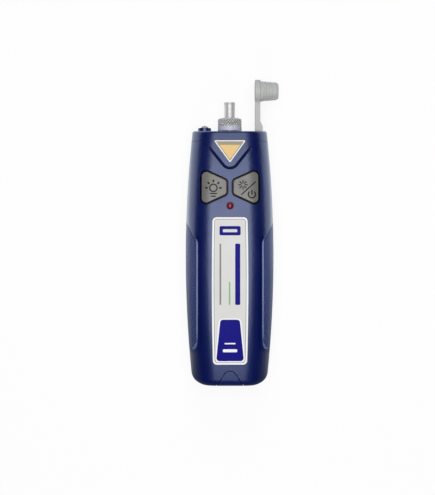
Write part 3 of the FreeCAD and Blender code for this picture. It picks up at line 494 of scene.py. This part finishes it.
def fromTongue(x, y):
    run, drop = valley["root"][0], valley["root"][1] - valley["tip"]
    side = math.hypot(run, drop)
    bend = valley["tip"] + valley["tipRound"] * side / run
    if (y - bend) * drop < -abs(x) * run:
        return abs(math.hypot(x, y - bend) - valley["tipRound"])
    return abs((y - valley["tip"]) * run - abs(x) * drop) / side


def isShadedValley(face):
    x, y, z = face.center / mm
    nearTop = frontHeight(x, y) - valley["below"] < z
    return nearTop and y < valley["end"] and fromTongue(x, y) < valley["half"]


# faces in the seam's valley take the darker navy as painted shade
paintFaces(bpy.data.objects["front_shell_finished"], navyValleyShade, isShadedValley)
paintFaces(bpy.data.objects["nose_cap_finished"], navyValleyShade, isShadedValley)
print("valley dulled")

# keys: satin caps whose skirts are painted black as the shade that shows in the gap round each key
key = {"skirtBelow": 0.35}


def isSkirtInShade(face):
    x, y, z = face.center / mm
    return z < frontHeight(x, y) - key["skirtBelow"]


def keyPiece(nodeName):
    piece = copyNodes(nodeName + "_finished", [nodeName])
    finishPiece(piece, keyAbs, nodeName, [nodeName])
    # faces below the key's top take the black as painted shade
    paintFaces(piece, blackNylonAndShade, isSkirtInShade)


keyPiece("torch_button")
keyPiece("laser_button")
print("keys finished")


# outlines in millimetres, with arcs at the corners
def arcPoints(centre, radius, start, end, count):
    points = []
    for i in range(count + 1):
        turn = math.radians(start + (end - start) * i / count)
        points.append((centre[0] + radius * math.cos(turn), centre[1] + radius * math.sin(turn)))
    return points


def roundCorners(corners, radii, count):
    points = []
    for i, corner in enumerate(corners):
        here = Vector(corner)
        back = (Vector(corners[i - 1]) - here).normalized()
        ahead = (Vector(corners[(i + 1) % len(corners)]) - here).normalized()
        half = back.angle(ahead) / 2
        centre = here + (back + ahead).normalized() * radii[i] / math.sin(half)
        first = here + back * radii[i] / math.tan(half) - centre
        turn = first.angle_signed(here + ahead * radii[i] / math.tan(half) - centre)
        for j in range(count + 1):
            spun = first.copy()
            spun.rotate(Matrix.Rotation(-turn * j / count, 2))
            points.append(tuple(centre + spun))
    return points


def strokeLine(start, end, width, endSteps=6):
    start, end = Vector(start), Vector(end)
    heading = math.degrees(math.atan2(end.y - start.y, end.x - start.x))
    return (arcPoints(end, width / 2, heading - 90, heading + 90, endSteps)
            + arcPoints(start, width / 2, heading + 90, heading + 270, endSteps))


def strokeArc(centre, radius, width, start, end, count):
    return (arcPoints(centre, radius + width / 2, start, end, count)
            + arcPoints(centre, radius - width / 2, end, start, count))


# a flat filled outline, cut into strips so that it can take a curved shape
flat = {"above": 5.0, "sliver": 0.01}


def flatSheet(name, outline, cut):
    above = cadBox[1].z + flat["above"] * mm
    deselect()
    bpy.ops.mesh.primitive_circle_add(vertices=len(outline), radius=1.0, fill_type="NGON")
    sheet = bpy.context.object
    sheet.name = name
    for vertex, point in zip(sheet.data.vertices, outline):
        vertex.co = (point[0] * mm, point[1] * mm, above)
    bpy.ops.object.mode_set(mode="EDIT")
    for axis, normal in enumerate([(1, 0, 0), (0, 1, 0)]):
        low = min(point[axis] for point in outline)
        high = max(point[axis] for point in outline)
        for i in range(1, int((high - low) / cut) + 1):
            at = low + i * cut
            if at < high - flat["sliver"]:
                bpy.ops.mesh.select_all(action="SELECT")
                bpy.ops.mesh.bisect(plane_co=tuple(at * mm * n for n in normal), plane_no=normal)
    leaveEdit()
    faceOutwards(sheet)
    if sheet.data.polygons[0].normal.z < 0:
        editAll(sheet)
        bpy.ops.mesh.flip_normals()
        leaveEdit()
    return sheet


# such a sheet laid on another piece
def sheetOn(name, outline, target, lift, cut, thick):
    sheet = flatSheet(name, outline, cut)
    applyModifier(sheet, "SHRINKWRAP", {"target": target, "wrap_method": "PROJECT", "use_project_z": True,
                                        "use_negative_direction": True, "use_positive_direction": False,
                                        "offset": lift * mm})
    applyModifier(sheet, "SOLIDIFY", {"thickness": thick * mm, "offset": -1.0})
    smoothShade(sheet, angle=40)
    return sheet


# a plate copied from its node and set a little below the shell round it
plate = {"sunk": 0.1}


def sunkPlate(name, nodeName):
    piece = copyNodes(name, [nodeName])
    editAll(piece)
    bpy.ops.transform.translate(value=(0, 0, -plate["sunk"] * mm))
    leaveEdit()
    return finishPiece(piece, whiteFilm, "housing", [nodeName])


# one colour printed on such a plate; a layer is its lift above the plate and its thickness
def printOn(target, name, outline, film, layer, cut):
    lift, thick = layer
    finishPiece(sheetOn(name, outline, target, lift, cut, thick), film, "housing")


# key symbols, pad printed: a lamp with rays, and a burst over a power mark
lampMark = {"centre": (-0.38, -0.34), "ring": 1.75, "ringTurn": 359, "ringSteps": 40, "line": 0.58,
            "rays": range(0, 181, 45), "rayIn": 3.05, "rayOut": 3.55, "rayLine": 0.85,
            "bars": [(2.7, 2.9), (4.0, 1.8)]}
burstMark = {"centre": (-1.34, 1.1), "rays": range(0, 360, 45), "rayIn": 0.95, "rayOut": 2.1, "rayLine": 0.5}
powerMark = {"centre": (2.86, -3.4), "ring": 1.72, "ringSteps": 36, "line": 0.62, "gap": 42, "barTop": 1.9,
             "barFoot": 0.1}
slashMark = {"start": (4.6, 2.6), "end": (-2.05, -3.54), "line": 0.55}
markInk = {"lift": 0.03, "cut": 0.8, "thick": 0.05}


def rayStrokes(mark):
    middle = Vector(mark["centre"])
    strokes = []
    for turn in mark["rays"]:
        ray = Vector((math.cos(math.radians(turn)), math.sin(math.radians(turn))))
        near, far = middle + ray * mark["rayIn"], middle + ray * mark["rayOut"]
        strokes.append(strokeLine(near, far, mark["rayLine"]))
    return strokes


def lampStrokes(mark):
    x, y = mark["centre"]
    ring = strokeArc((x, y), mark["ring"], mark["line"], 90, 90 + mark["ringTurn"], mark["ringSteps"])
    bars = [strokeLine((x - width / 2, y - drop), (x + width / 2, y - drop), mark["line"])
            for drop, width in mark["bars"]]
    return [ring] + rayStrokes(mark) + bars


def powerStrokes(mark):
    x, y = mark["centre"]
    ring = strokeArc((x, y), mark["ring"], mark["line"], 90 + mark["gap"], 450 - mark["gap"],
                     mark["ringSteps"])
    return [ring, strokeLine((x, y + mark["barFoot"]), (x, y + mark["barTop"]), mark["line"])]


def slashStrokes(mark):
    return [strokeLine(mark["start"], mark["end"], mark["line"])]


def printMark(name, strokes, keyNode):
    low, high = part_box(keyNode)
    middle = (low + high) / 2 / mm
    parts = []
    for i, stroke in enumerate(strokes):
        placed = [(x + middle.x, y + middle.y) for x, y in stroke]
        parts.append(sheetOn(name + str(i), placed, nodes[keyNode], markInk["lift"], markInk["cut"],
                             markInk["thick"]))
    finishPiece(joinPieces(name, parts), keyInk, keyNode)


printMark("lamp_mark", lampStrokes(lampMark), "torch_button")
laserStrokes = rayStrokes(burstMark) + powerStrokes(powerMark) + slashStrokes(slashMark)
printMark("laser_mark", laserStrokes, "laser_button")
print("key symbols printed")


# label: a white plate with a fine line, a silver field and plain printed blocks
labelLow, labelHigh = [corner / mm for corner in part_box("label_plate")]
label = {"top": 8.3, "middle": 8.9, "foot": 8.1, "barrel": 1400.0, "corner": 2.0, "leastCorner": 0.6,
         "cornerSteps": 10, "rim": 0.85, "line": 0.25, "cut": 2.0}
labelLayers = {"line": (0.012, 0.03), "field": (0.024, 0.04), "footRim": (0.036, 0.04),
               "footBlock": (0.048, 0.05), "block": (0.06, 0.05), "window": (0.075, 0.05)}


def labelOutline(inset):
    foot, waist, top = labelLow.y + inset, (labelLow.y + labelHigh.y) / 2, labelHigh.y - inset
    footHalf, waistHalf, topHalf = [label[place] - inset for place in ("foot", "middle", "top")]
    corners = [(-footHalf, foot), (footHalf, foot), (waistHalf, waist), (topHalf, top), (-topHalf, top),
               (-waistHalf, waist)]
    radius = max(label["corner"] - inset, label["leastCorner"])
    return roundCorners(corners, [radius, radius, label["barrel"]] * 2, label["cornerSteps"])


# blue block in a white line at the label's foot, measured down from its upper edge
footBlock = {"top": 48.5, "foot": 68.3, "topHalf": 4.6, "footHalf": 6.6, "corner": 1.5, "cornerSteps": 8,
             "line": 0.6}


def footOutline(grow):
    top = labelHigh.y - footBlock["top"] + grow
    foot = labelHigh.y - footBlock["foot"] - grow
    topHalf, footHalf = footBlock["topHalf"] + grow, footBlock["footHalf"] + grow
    corners = [(-footHalf, foot), (footHalf, foot), (topHalf, top), (-topHalf, top)]
    return roundCorners(corners, [footBlock["corner"] + grow] * 4, footBlock["cornerSteps"])


def blockOutline(x0, x1, y0, y1, corner, cornerSteps=5):
    return roundCorners([(x0, y0), (x1, y0), (x1, y1), (x0, y1)], [corner] * 4, cornerSteps)


labelPlate = sunkPlate("label_plate_printed", "label_plate")


def printLabel(name, outline, film, layer):
    printOn(labelPlate, name, outline, film, labelLayers[layer], label["cut"])


printLabel("label_line", labelOutline(label["rim"]), greyFilm, "line")
printLabel("label_field", labelOutline(label["rim"] + label["line"]), silverFilm, "field")
printLabel("label_foot_rim", footOutline(footBlock["line"]), whiteFilm, "footRim")
printLabel("label_foot_block", footOutline(0.0), blueFilm, "footBlock")

# each block's film and layer, left and right side, top and foot below the label's upper edge, corner radius
labelBlocks = [
    ("label_head_block", blueFilm, "block", (-5.0, 5.0, 4.2, 8.6, 0.7)),
    ("label_head_window", silverFilm, "window", (-3.4, 3.4, 5.7, 7.1, 0.4)),
    ("label_long_bar", blueFilm, "block", (2.4, 4.8, 12.5, 41.5, 0.6)),
    ("label_slim_bar", greyFilm, "block", (-5.0, -4.2, 12.5, 41.5, 0.35)),
    ("label_short_bar", greenFilm, "block", (-0.6, 0.1, 30.5, 41.5, 0.3)),
    ("label_foot_stripe", whiteFilm, "block", (-3.4, 3.4, 62.6, 64.0, 0.5)),
    ("label_foot_line", whiteFilm, "block", (-2.6, 2.6, 59.6, 60.2, 0.25)),
]
for name, film, layer, (x0, x1, topDown, footDown, corner) in labelBlocks:
    printLabel(name, blockOutline(x0, x1, labelHigh.y - footDown, labelHigh.y - topDown, corner), film, layer)
print("label printed")

# triangular inlay: white rim, strip and cream field
inlayTop = (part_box("triangle_inlay")[1] / mm).y
inlay = {"height": 10.9, "half": 7.75, "corner": 0.45, "leastCorner": 0.2, "cornerSteps": 6, "rim": 0.5,
         "stripDeep": 1.75, "fieldIn": 0.42, "cut": 1.0}
inlayLayers = {"strip": (0.015, 0.03), "field": (0.03, 0.03)}


def inlayOutline(inset, top):
    lean = inlay["half"] / inlay["height"]
    tip = inlayTop - inlay["height"] + inset * math.hypot(1, 1 / lean)
    half = (top - tip) * lean
    radius = max(inlay["corner"] - inset, inlay["leastCorner"])
    return roundCorners([(0, tip), (half, top), (-half, top)], [radius] * 3, inlay["cornerSteps"])


inlayPlate = sunkPlate("inlay_plate_printed", "triangle_inlay")


def printInlay(name, outline, film, layer):
    printOn(inlayPlate, name, outline, film, inlayLayers[layer], inlay["cut"])


stripTop = inlayTop - inlay["rim"]
fieldTop = stripTop - inlay["stripDeep"]
printInlay("inlay_strip", inlayOutline(inlay["rim"], stripTop), stripFilm, "strip")
printInlay("inlay_field", inlayOutline(inlay["rim"] + inlay["fieldIn"], fieldTop), creamFilm, "field")
print("inlay printed")

# side grips: rows of round dimples pressed into the pads, each row half a pitch along from the next
gripDimples = {"voxel": 0.17, "smoothing": 3, "pitch": 1.5, "rowShare": 0.866, "radius": 0.5, "depth": 0.4}


# distance round the shoulder from the crown, then straight down the drafted side
def roundShoulder(x, y, z):
    centreX, centreZ = shoulderCentre(y)
    turn = math.atan2(abs(x) - centreX, z - centreZ)
    most = math.pi / 2 - front["draft"]
    if turn < most:
        return turn * front["shoulder"]
    foot = centreZ + front["shoulder"] * math.cos(most)
    return most * front["shoulder"] + (foot - z) / math.cos(front["draft"])


def gripPad(nodeName):
    pad = copyNodes(nodeName + "_dimpled", [nodeName])
    applyModifier(pad, "REMESH", {"mode": "VOXEL", "voxel_size": gripDimples["voxel"] * mm})
    applyModifier(pad, "SMOOTH", {"factor": 0.5, "iterations": gripDimples["smoothing"]})
    group = pad.vertex_groups.new(name="dimples")
    pitch = gripDimples["pitch"]
    spacing = pitch * gripDimples["rowShare"]
    for vertex in pad.data.vertices:
        along = vertex.co.y / mm
        across = roundShoulder(*(vertex.co / mm))
        row = round(across / spacing)
        shift = pitch / 2 if row % 2 else 0.0
        nearest = round((along - shift) / pitch) * pitch + shift
        away = math.hypot(along - nearest, across - row * spacing)
        group.add([vertex.index], max(0.0, 1 - (away / gripDimples["radius"]) ** 2), "REPLACE")
    applyModifier(pad, "DISPLACE", {"strength": -gripDimples["depth"] * mm, "mid_level": 0.0,
                                    "vertex_group": "dimples", "direction": "NORMAL"})
    smoothShade(pad, angle=60)
    # the pads take the paler grip navy, a painted sheen
    finishPiece(pad, gripAbsPaintedSheen, "housing", [nodeName])


gripPad("left_grip")
gripPad("right_grip")

# raised lip along the inner edge of each grip, level on top, sinking into the shell where it turns away
ridge = {"inner": 15.6, "head": [(16.9, 10.2), (16.5, 9.3), (16.1, 8.4), (15.75, 7.6)], "top": 6.6,
         "step": 2.0, "footCentre": (20.6, -39.8), "footRadius": 5.0, "footEnd": 240, "footSteps": 12,
         "half": 0.5, "rise": 0.8, "level": 0.35, "deep": 1.9, "soft": 0.16, "sink": [0.9, 0.35],
         "highlightBelow": -40.6}


def ridgePath():
    footY = ridge["footCentre"][1]
    count = round((ridge["top"] - footY) / ridge["step"])
    path = list(ridge["head"])
    path += [(ridge["inner"], ridge["top"] + (footY - ridge["top"]) * i / count) for i in range(count)]
    foot = arcPoints(ridge["footCentre"], ridge["footRadius"], 180, ridge["footEnd"], ridge["footSteps"])
    return path + foot


def ridgeHeights(path):
    heights = []
    for x, y in path:
        shell = frontHeight(x, y)
        heights.append(shell + ridge["rise"] + ridge["level"] * (frontHeight(ridge["inner"], y) - shell))
    for i, sunk in enumerate(ridge["sink"]):
        heights[i] -= sunk
        heights[-1 - i] -= sunk
    return heights


def ridgeOutline(path, side):
    left, right = [], []
    for i, point in enumerate(path):
        back, ahead = path[max(i - 1, 0)], path[min(i + 1, len(path) - 1)]
        way = (Vector(ahead) - Vector(back)).normalized()
        out = Vector((way.y, -way.x)) * ridge["half"]
        left.append(tuple(Vector(point) + out))
        right.append(tuple(Vector(point) - out))
    return [(side * x, y) for x, y in left + right[::-1]]


def gripRidge(name, side):
    path = ridgePath()
    heights = ridgeHeights(path)
    piece = flatSheet(name, ridgeOutline(path, side), ridge["step"])
    for vertex in piece.data.vertices:
        here = Vector((side * vertex.co.x, vertex.co.y)) / mm
        near = min(range(len(path)), key=lambda i: (Vector(path[i]) - here).length)
        vertex.co.z = heights[near] * mm
    applyModifier(piece, "SOLIDIFY", {"thickness": ridge["deep"] * mm, "offset": -1.0})
    applyModifier(piece, "BEVEL", {"width": ridge["soft"] * mm, "segments": 3, "limit_method": "ANGLE"})
    smoothShade(piece, angle=40)
    # the lip's paler navy is a painted highlight
    finishPiece(piece, navyLipHighlight, "housing")
    # the lip's lower end takes the palest navy, a painted highlight
    paintFaces(piece, navyLipEndHighlight, lambda face: face.center.y / mm < ridge["highlightBelow"])


gripRidge("left_grip_ridge", -1)
gripRidge("right_grip_ridge", 1)
print("grips dimpled")

# coupling nut: a spun profile whose band is cut by two sets of crossing grooves into diamonds
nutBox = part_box("coupling_nut")
nut = {"diamonds": 24, "steps": 8, "rows": 20, "peak": 5.9, "root": 5.3, "grimeShade": 0.22, "bandLow": 0.45,
       "bandHigh": 3.3, "bore": 3.98, "lipBore": 2.8, "lip": 0.97, "footRim": 5.4, "footEdge": 5.5,
       "footBevel": 0.18, "headRim": 5.45, "headEdge": 5.6, "headBevel": 0.32, "near": 0.01, "slack": 0.05}


def ramp(turns):
    return abs(2 * (turns - math.floor(turns)) - 1)


def knurledNut():
    foot = nutBox[0].y / mm
    top = nutBox[1].y / mm
    axisZ = (nutBox[0].z + nutBox[1].z) / 2
    low = foot + nut["bandLow"]
    deep = nut["bandHigh"] - nut["bandLow"]
    near = nut["near"]
    band = [(nut["root"], low + deep * i / nut["rows"]) for i in range(nut["rows"] + 1)]
    profile = [(nut["bore"], foot), (nut["footRim"], foot), (nut["footEdge"], foot + nut["footBevel"])] + band
    profile += [(nut["headEdge"], top - nut["headBevel"]), (nut["headRim"], top), (nut["lipBore"], top),
                (nut["lipBore"], top - nut["lip"]), (nut["bore"], top - nut["lip"])]
    deselect()
    bpy.ops.mesh.primitive_circle_add(vertices=len(profile), radius=1.0, fill_type="NOTHING")
    piece = bpy.context.object
    piece.name = "coupling_nut_knurled"
    for vertex, (radius, along) in zip(piece.data.vertices, profile):
        vertex.co = (radius * mm, along * mm, axisZ)
    editAll(piece)
    bpy.ops.mesh.spin(steps=nut["diamonds"] * nut["steps"], angle=2 * math.pi, center=(0, 0, axisZ),
                      axis=(0, 1, 0))
    leaveEdit()
    mergeDoubles(piece)
    pitch = 2 * math.pi * nut["peak"] / nut["diamonds"]
    for vertex in piece.data.vertices:
        away = Vector((vertex.co.x, vertex.co.z - axisZ))
        along = vertex.co.y / mm
        if abs(away.length / mm - nut["root"]) < near and low - near < along < low + deep + near:
            turns = math.atan2(away.y, away.x) / 2 / math.pi * nut["diamonds"]
            up = (along - low) / pitch
            rise = min(ramp(turns + up), ramp(turns - up))
            away *= 1 + (nut["peak"] / nut["root"] - 1) * rise
            vertex.co.x = away.x
            vertex.co.z = axisZ + away.y
    faceOutwards(piece)
    smoothShade(piece, angle=20)
    finishPiece(piece, nickelPlate, "coupling_nut", ["coupling_nut"])
    grimeShadeTop = nut["root"] + nut["grimeShade"] * (nut["peak"] - nut["root"])

    def isGrimedShadedGroove(face):
        out = math.hypot(face.center.x, face.center.z - axisZ) / mm
        return nut["root"] - nut["slack"] < out < grimeShadeTop and low < face.center.y / mm < low + deep

    # the groove faces take the darker grey: grime and painted shade
    paintFaces(piece, nickelGrooveGrimeShade, isGrimedShadedGroove)


knurledNut()
print("nut knurled")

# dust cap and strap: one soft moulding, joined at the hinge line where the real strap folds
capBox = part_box("dust_cap")
softCap = {"voxel": 0.2, "smoothing": 6, "shrink": 0.01, "level": 0.001, "weld": 0.01,
           "grooves": [16.7, 17.9, 19.3, 20.7], "grooveHalf": 0.3, "grooveDeep": 0.34, "grooveFrom": 15.5,
           "outside": 3.8, "strapIn": 1.3, "bend": 1.3}


def dustCap():
    hinge = capBox[0].y
    axisY = capBox[1].y - (capBox[1].z - capBox[0].z) / 2
    axisZ = (capBox[0].z + capBox[1].z) / 2
    cap = copyNodes("dust_cap_moulding", ["strap_root", "dust_cap"])

    # where both halves meet at the fold, their end faces go, and they become one skin
    def isFoldFace(face):
        return all(abs(cap.data.vertices[i].co.y - hinge) < softCap["level"] * mm for i in face.vertices)

    editFaces(cap, isFoldFace)
    bpy.ops.mesh.delete(type="FACE")
    leaveEdit()
    mergeDoubles(cap, softCap["weld"])
    applyModifier(cap, "REMESH", {"mode": "VOXEL", "voxel_size": softCap["voxel"] * mm})
    applyModifier(cap, "SMOOTH", {"factor": 0.5, "iterations": softCap["smoothing"]})
    applyModifier(cap, "DISPLACE", {"strength": -softCap["shrink"] * mm, "mid_level": 0.0,
                                    "direction": "NORMAL"})
    group = cap.vertex_groups.new(name="grooves")
    for vertex in cap.data.vertices:
        x = vertex.co.x / mm
        radial = math.hypot(vertex.co.y - axisY, vertex.co.z - axisZ) / mm
        nearest = min(abs(x - groove) for groove in softCap["grooves"])
        grooved = radial > softCap["outside"] and x > softCap["grooveFrom"]
        weight = max(0.0, 1 - nearest / softCap["grooveHalf"]) if grooved else 0.0
        group.add([vertex.index], weight, "REPLACE")
    applyModifier(cap, "DISPLACE", {"strength": -softCap["grooveDeep"] * mm, "mid_level": 0.0,
                                    "vertex_group": "grooves", "direction": "NORMAL"})
    smoothShade(cap, angle=70)
    finishPiece(cap, capElastomer, None, ["strap_root", "dust_cap"])
    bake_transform(cap)


dustCap()
print("dust cap moulded")

# lamps: a reflector cup inside each dome, hollow toward the way that the lamp shines
torchCup = {"sides": 32, "radius": 1.3, "deep": 0.7, "fromTip": 3.2, "wall": 0.25, "hollow": 0.35,
            "narrow": 0.6, "endTilt": 25, "shines": (0, 1, 0)}
indicatorCup = {"sides": 28, "radius": 0.8, "deep": 0.5, "fromTip": 1.15, "wall": 0.14, "hollow": 0.2,
                "narrow": 0.6, "endTilt": 25, "shines": (0, 0, 1)}


def emitterCup(name, nodeName, cup, material):
    low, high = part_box(nodeName)
    middle = (low + high) / 2
    shines = Vector(cup["shines"])
    place = middle + shines * ((high - middle).dot(shines) - cup["fromTip"] * mm)
    turn = Vector((0, 0, 1)).rotation_difference(shines).to_euler()
    deselect()
    bpy.ops.mesh.primitive_cylinder_add(vertices=cup["sides"], radius=cup["radius"] * mm,
                                        depth=cup["deep"] * mm, location=place, rotation=turn)
    piece = bpy.context.object
    piece.name = name
    applyPlace(piece)
    editFaces(piece, lambda face: face.normal.angle(shines) < math.radians(cup["endTilt"]))
    bpy.ops.mesh.inset(thickness=cup["wall"] * mm)
    bpy.ops.mesh.extrude_region_move(TRANSFORM_OT_translate={"value": tuple(-shines * cup["hollow"] * mm)})
    bpy.ops.transform.resize(value=(cup["narrow"],) * 3)
    leaveEdit()
    smoothShade(piece, angle=35)
    finishPiece(piece, material, "housing")


emitterCup("torch_emitter", "torch_lamp", torchCup, creamFilm)
emitterCup("indicator_emitter", "indicator_lamp", indicatorCup, whiteFilm)
print("lamps filled")

# stage: white floor that keeps the shadow, soft panels and the camera straight above
stage = {"floorHalf": 12000.0, "floorGap": 0.2, "floorTone": "#f6f6f6", "floorRough": 0.9, "selfLit": 0.88,
         "glossTone": "#e9f1ff", "fullGlow": 1.0, "fullAt": 20.0, "faintGlow": 0.12, "faintAt": -70.0,
         "roomTone": "#f4f5f7", "roomLight": 0.012}


# paper sweep: flat white to the eye, and a glow that fades toward the tail in anything shiny
def floorMaterial():
    material, tree, shader, place = startMaterial("paperSweep")
    shader.inputs["Base Color"].default_value = linear(stage["floorTone"])
    shader.inputs["Roughness"].default_value = stage["floorRough"]
    path = addNode(tree, "ShaderNodeLightPath")
    along = addNode(tree, "ShaderNodeSeparateXYZ", None, {0: place}).outputs[1]
    fade = addNode(tree, "ShaderNodeMapRange",
                   {"From Min": stage["faintAt"] * mm, "From Max": stage["fullAt"] * mm,
                    "To Min": stage["faintGlow"], "To Max": stage["fullGlow"]},
                   {"Value": along})
    bright = addNode(tree, "ShaderNodeMix", {"data_type": "FLOAT", "A": 1.0},
                     {"Factor": path.outputs["Is Glossy Ray"], "B": fade.outputs[0]})
    seen = addNode(tree, "ShaderNodeMath", {"operation": "MAXIMUM"},
                   {0: path.outputs["Is Camera Ray"], 1: path.outputs["Is Transmission Ray"]})
    lit = addNode(tree, "ShaderNodeMath", {"operation": "MULTIPLY", 1: stage["selfLit"]},
                  {0: seen.outputs[0]})
    share = addNode(tree, "ShaderNodeMath", {"operation": "MAXIMUM"},
                    {0: lit.outputs[0], 1: path.outputs["Is Glossy Ray"]})
    tint = addNode(tree, "ShaderNodeMix",
                   {"data_type": "RGBA", colourA: (1, 1, 1, 1), colourB: linear(stage["glossTone"])},
                   {"Factor": path.outputs["Is Glossy Ray"]})
    glow = addNode(tree, "ShaderNodeEmission", None,
                   {"Color": tint.outputs[colourOut], "Strength": bright.outputs[0]})
    mixed = addNode(tree, "ShaderNodeMixShader", None,
                    {0: share.outputs[0], 1: shader.outputs[0], 2: glow.outputs[0]})
    tree.links.new(mixed.outputs[0], tree.nodes["Material Output"].inputs["Surface"])
    return material


deselect()
bpy.ops.mesh.primitive_plane_add(size=2 * stage["floorHalf"] * mm,
                                 location=(0, 0, cadBox[0].z - stage["floorGap"] * mm))
floor = bpy.context.object
floor.name = "paper_floor"
floor.data.materials.append(floorMaterial())

# each panel's place, what it points at, width and height, watts, and whether it shows in reflections
panels = {
    "panelOverhead": ((0, 92.5, 750), (0, 20, 20), (500, 815), 2.78, True),
    "panelTop": ((0, 0, 1000), (0, 0, 0), (800, 800), 4.5, False),
    "panelNose": ((0, 1100, 750), (0, 0, 0), (700, 500), 3.6, False),
    "panelTail": ((0, -1100, 750), (0, 0, 0), (700, 500), 3.6, False),
}


def softPanel(name, place, target, size, power, shiny):
    light = bpy.data.lights.new(name, "AREA")
    light.shape = "RECTANGLE"
    light.size = size[0] * mm
    light.size_y = size[1] * mm
    light.energy = power
    lamp = bpy.data.objects.new(name, light)
    lamp.location = Vector(place) * mm
    lamp.visible_glossy = shiny
    lamp.rotation_euler = (Vector(target) - Vector(place)).to_track_quat("-Z", "Y").to_euler()
    collection.objects.link(lamp)


for name, settings in panels.items():
    softPanel(name, *settings)

world = bpy.data.worlds.new("studioRoom")
world.use_nodes = True
room = world.node_tree.nodes["Background"]
room.inputs["Color"].default_value = linear(stage["roomTone"])
room.inputs["Strength"].default_value = stage["roomLight"]
bpy.context.scene.world = world

view = {"place": (-5.95, 4.6, 508.0), "lens": 74.2, "sensor": 36.0, "nearest": 10.0}
camera = bpy.data.cameras.new("viewCamera")
camera.lens = view["lens"]
camera.sensor_width = view["sensor"]
camera.clip_start = view["nearest"] * mm
viewer = bpy.data.objects.new("viewCamera", camera)
viewer.location = Vector(view["place"]) * mm
collection.objects.link(viewer)
bpy.context.scene.camera = viewer
bpy.context.scene.view_settings.view_transform = "Standard"
print("stage lit")
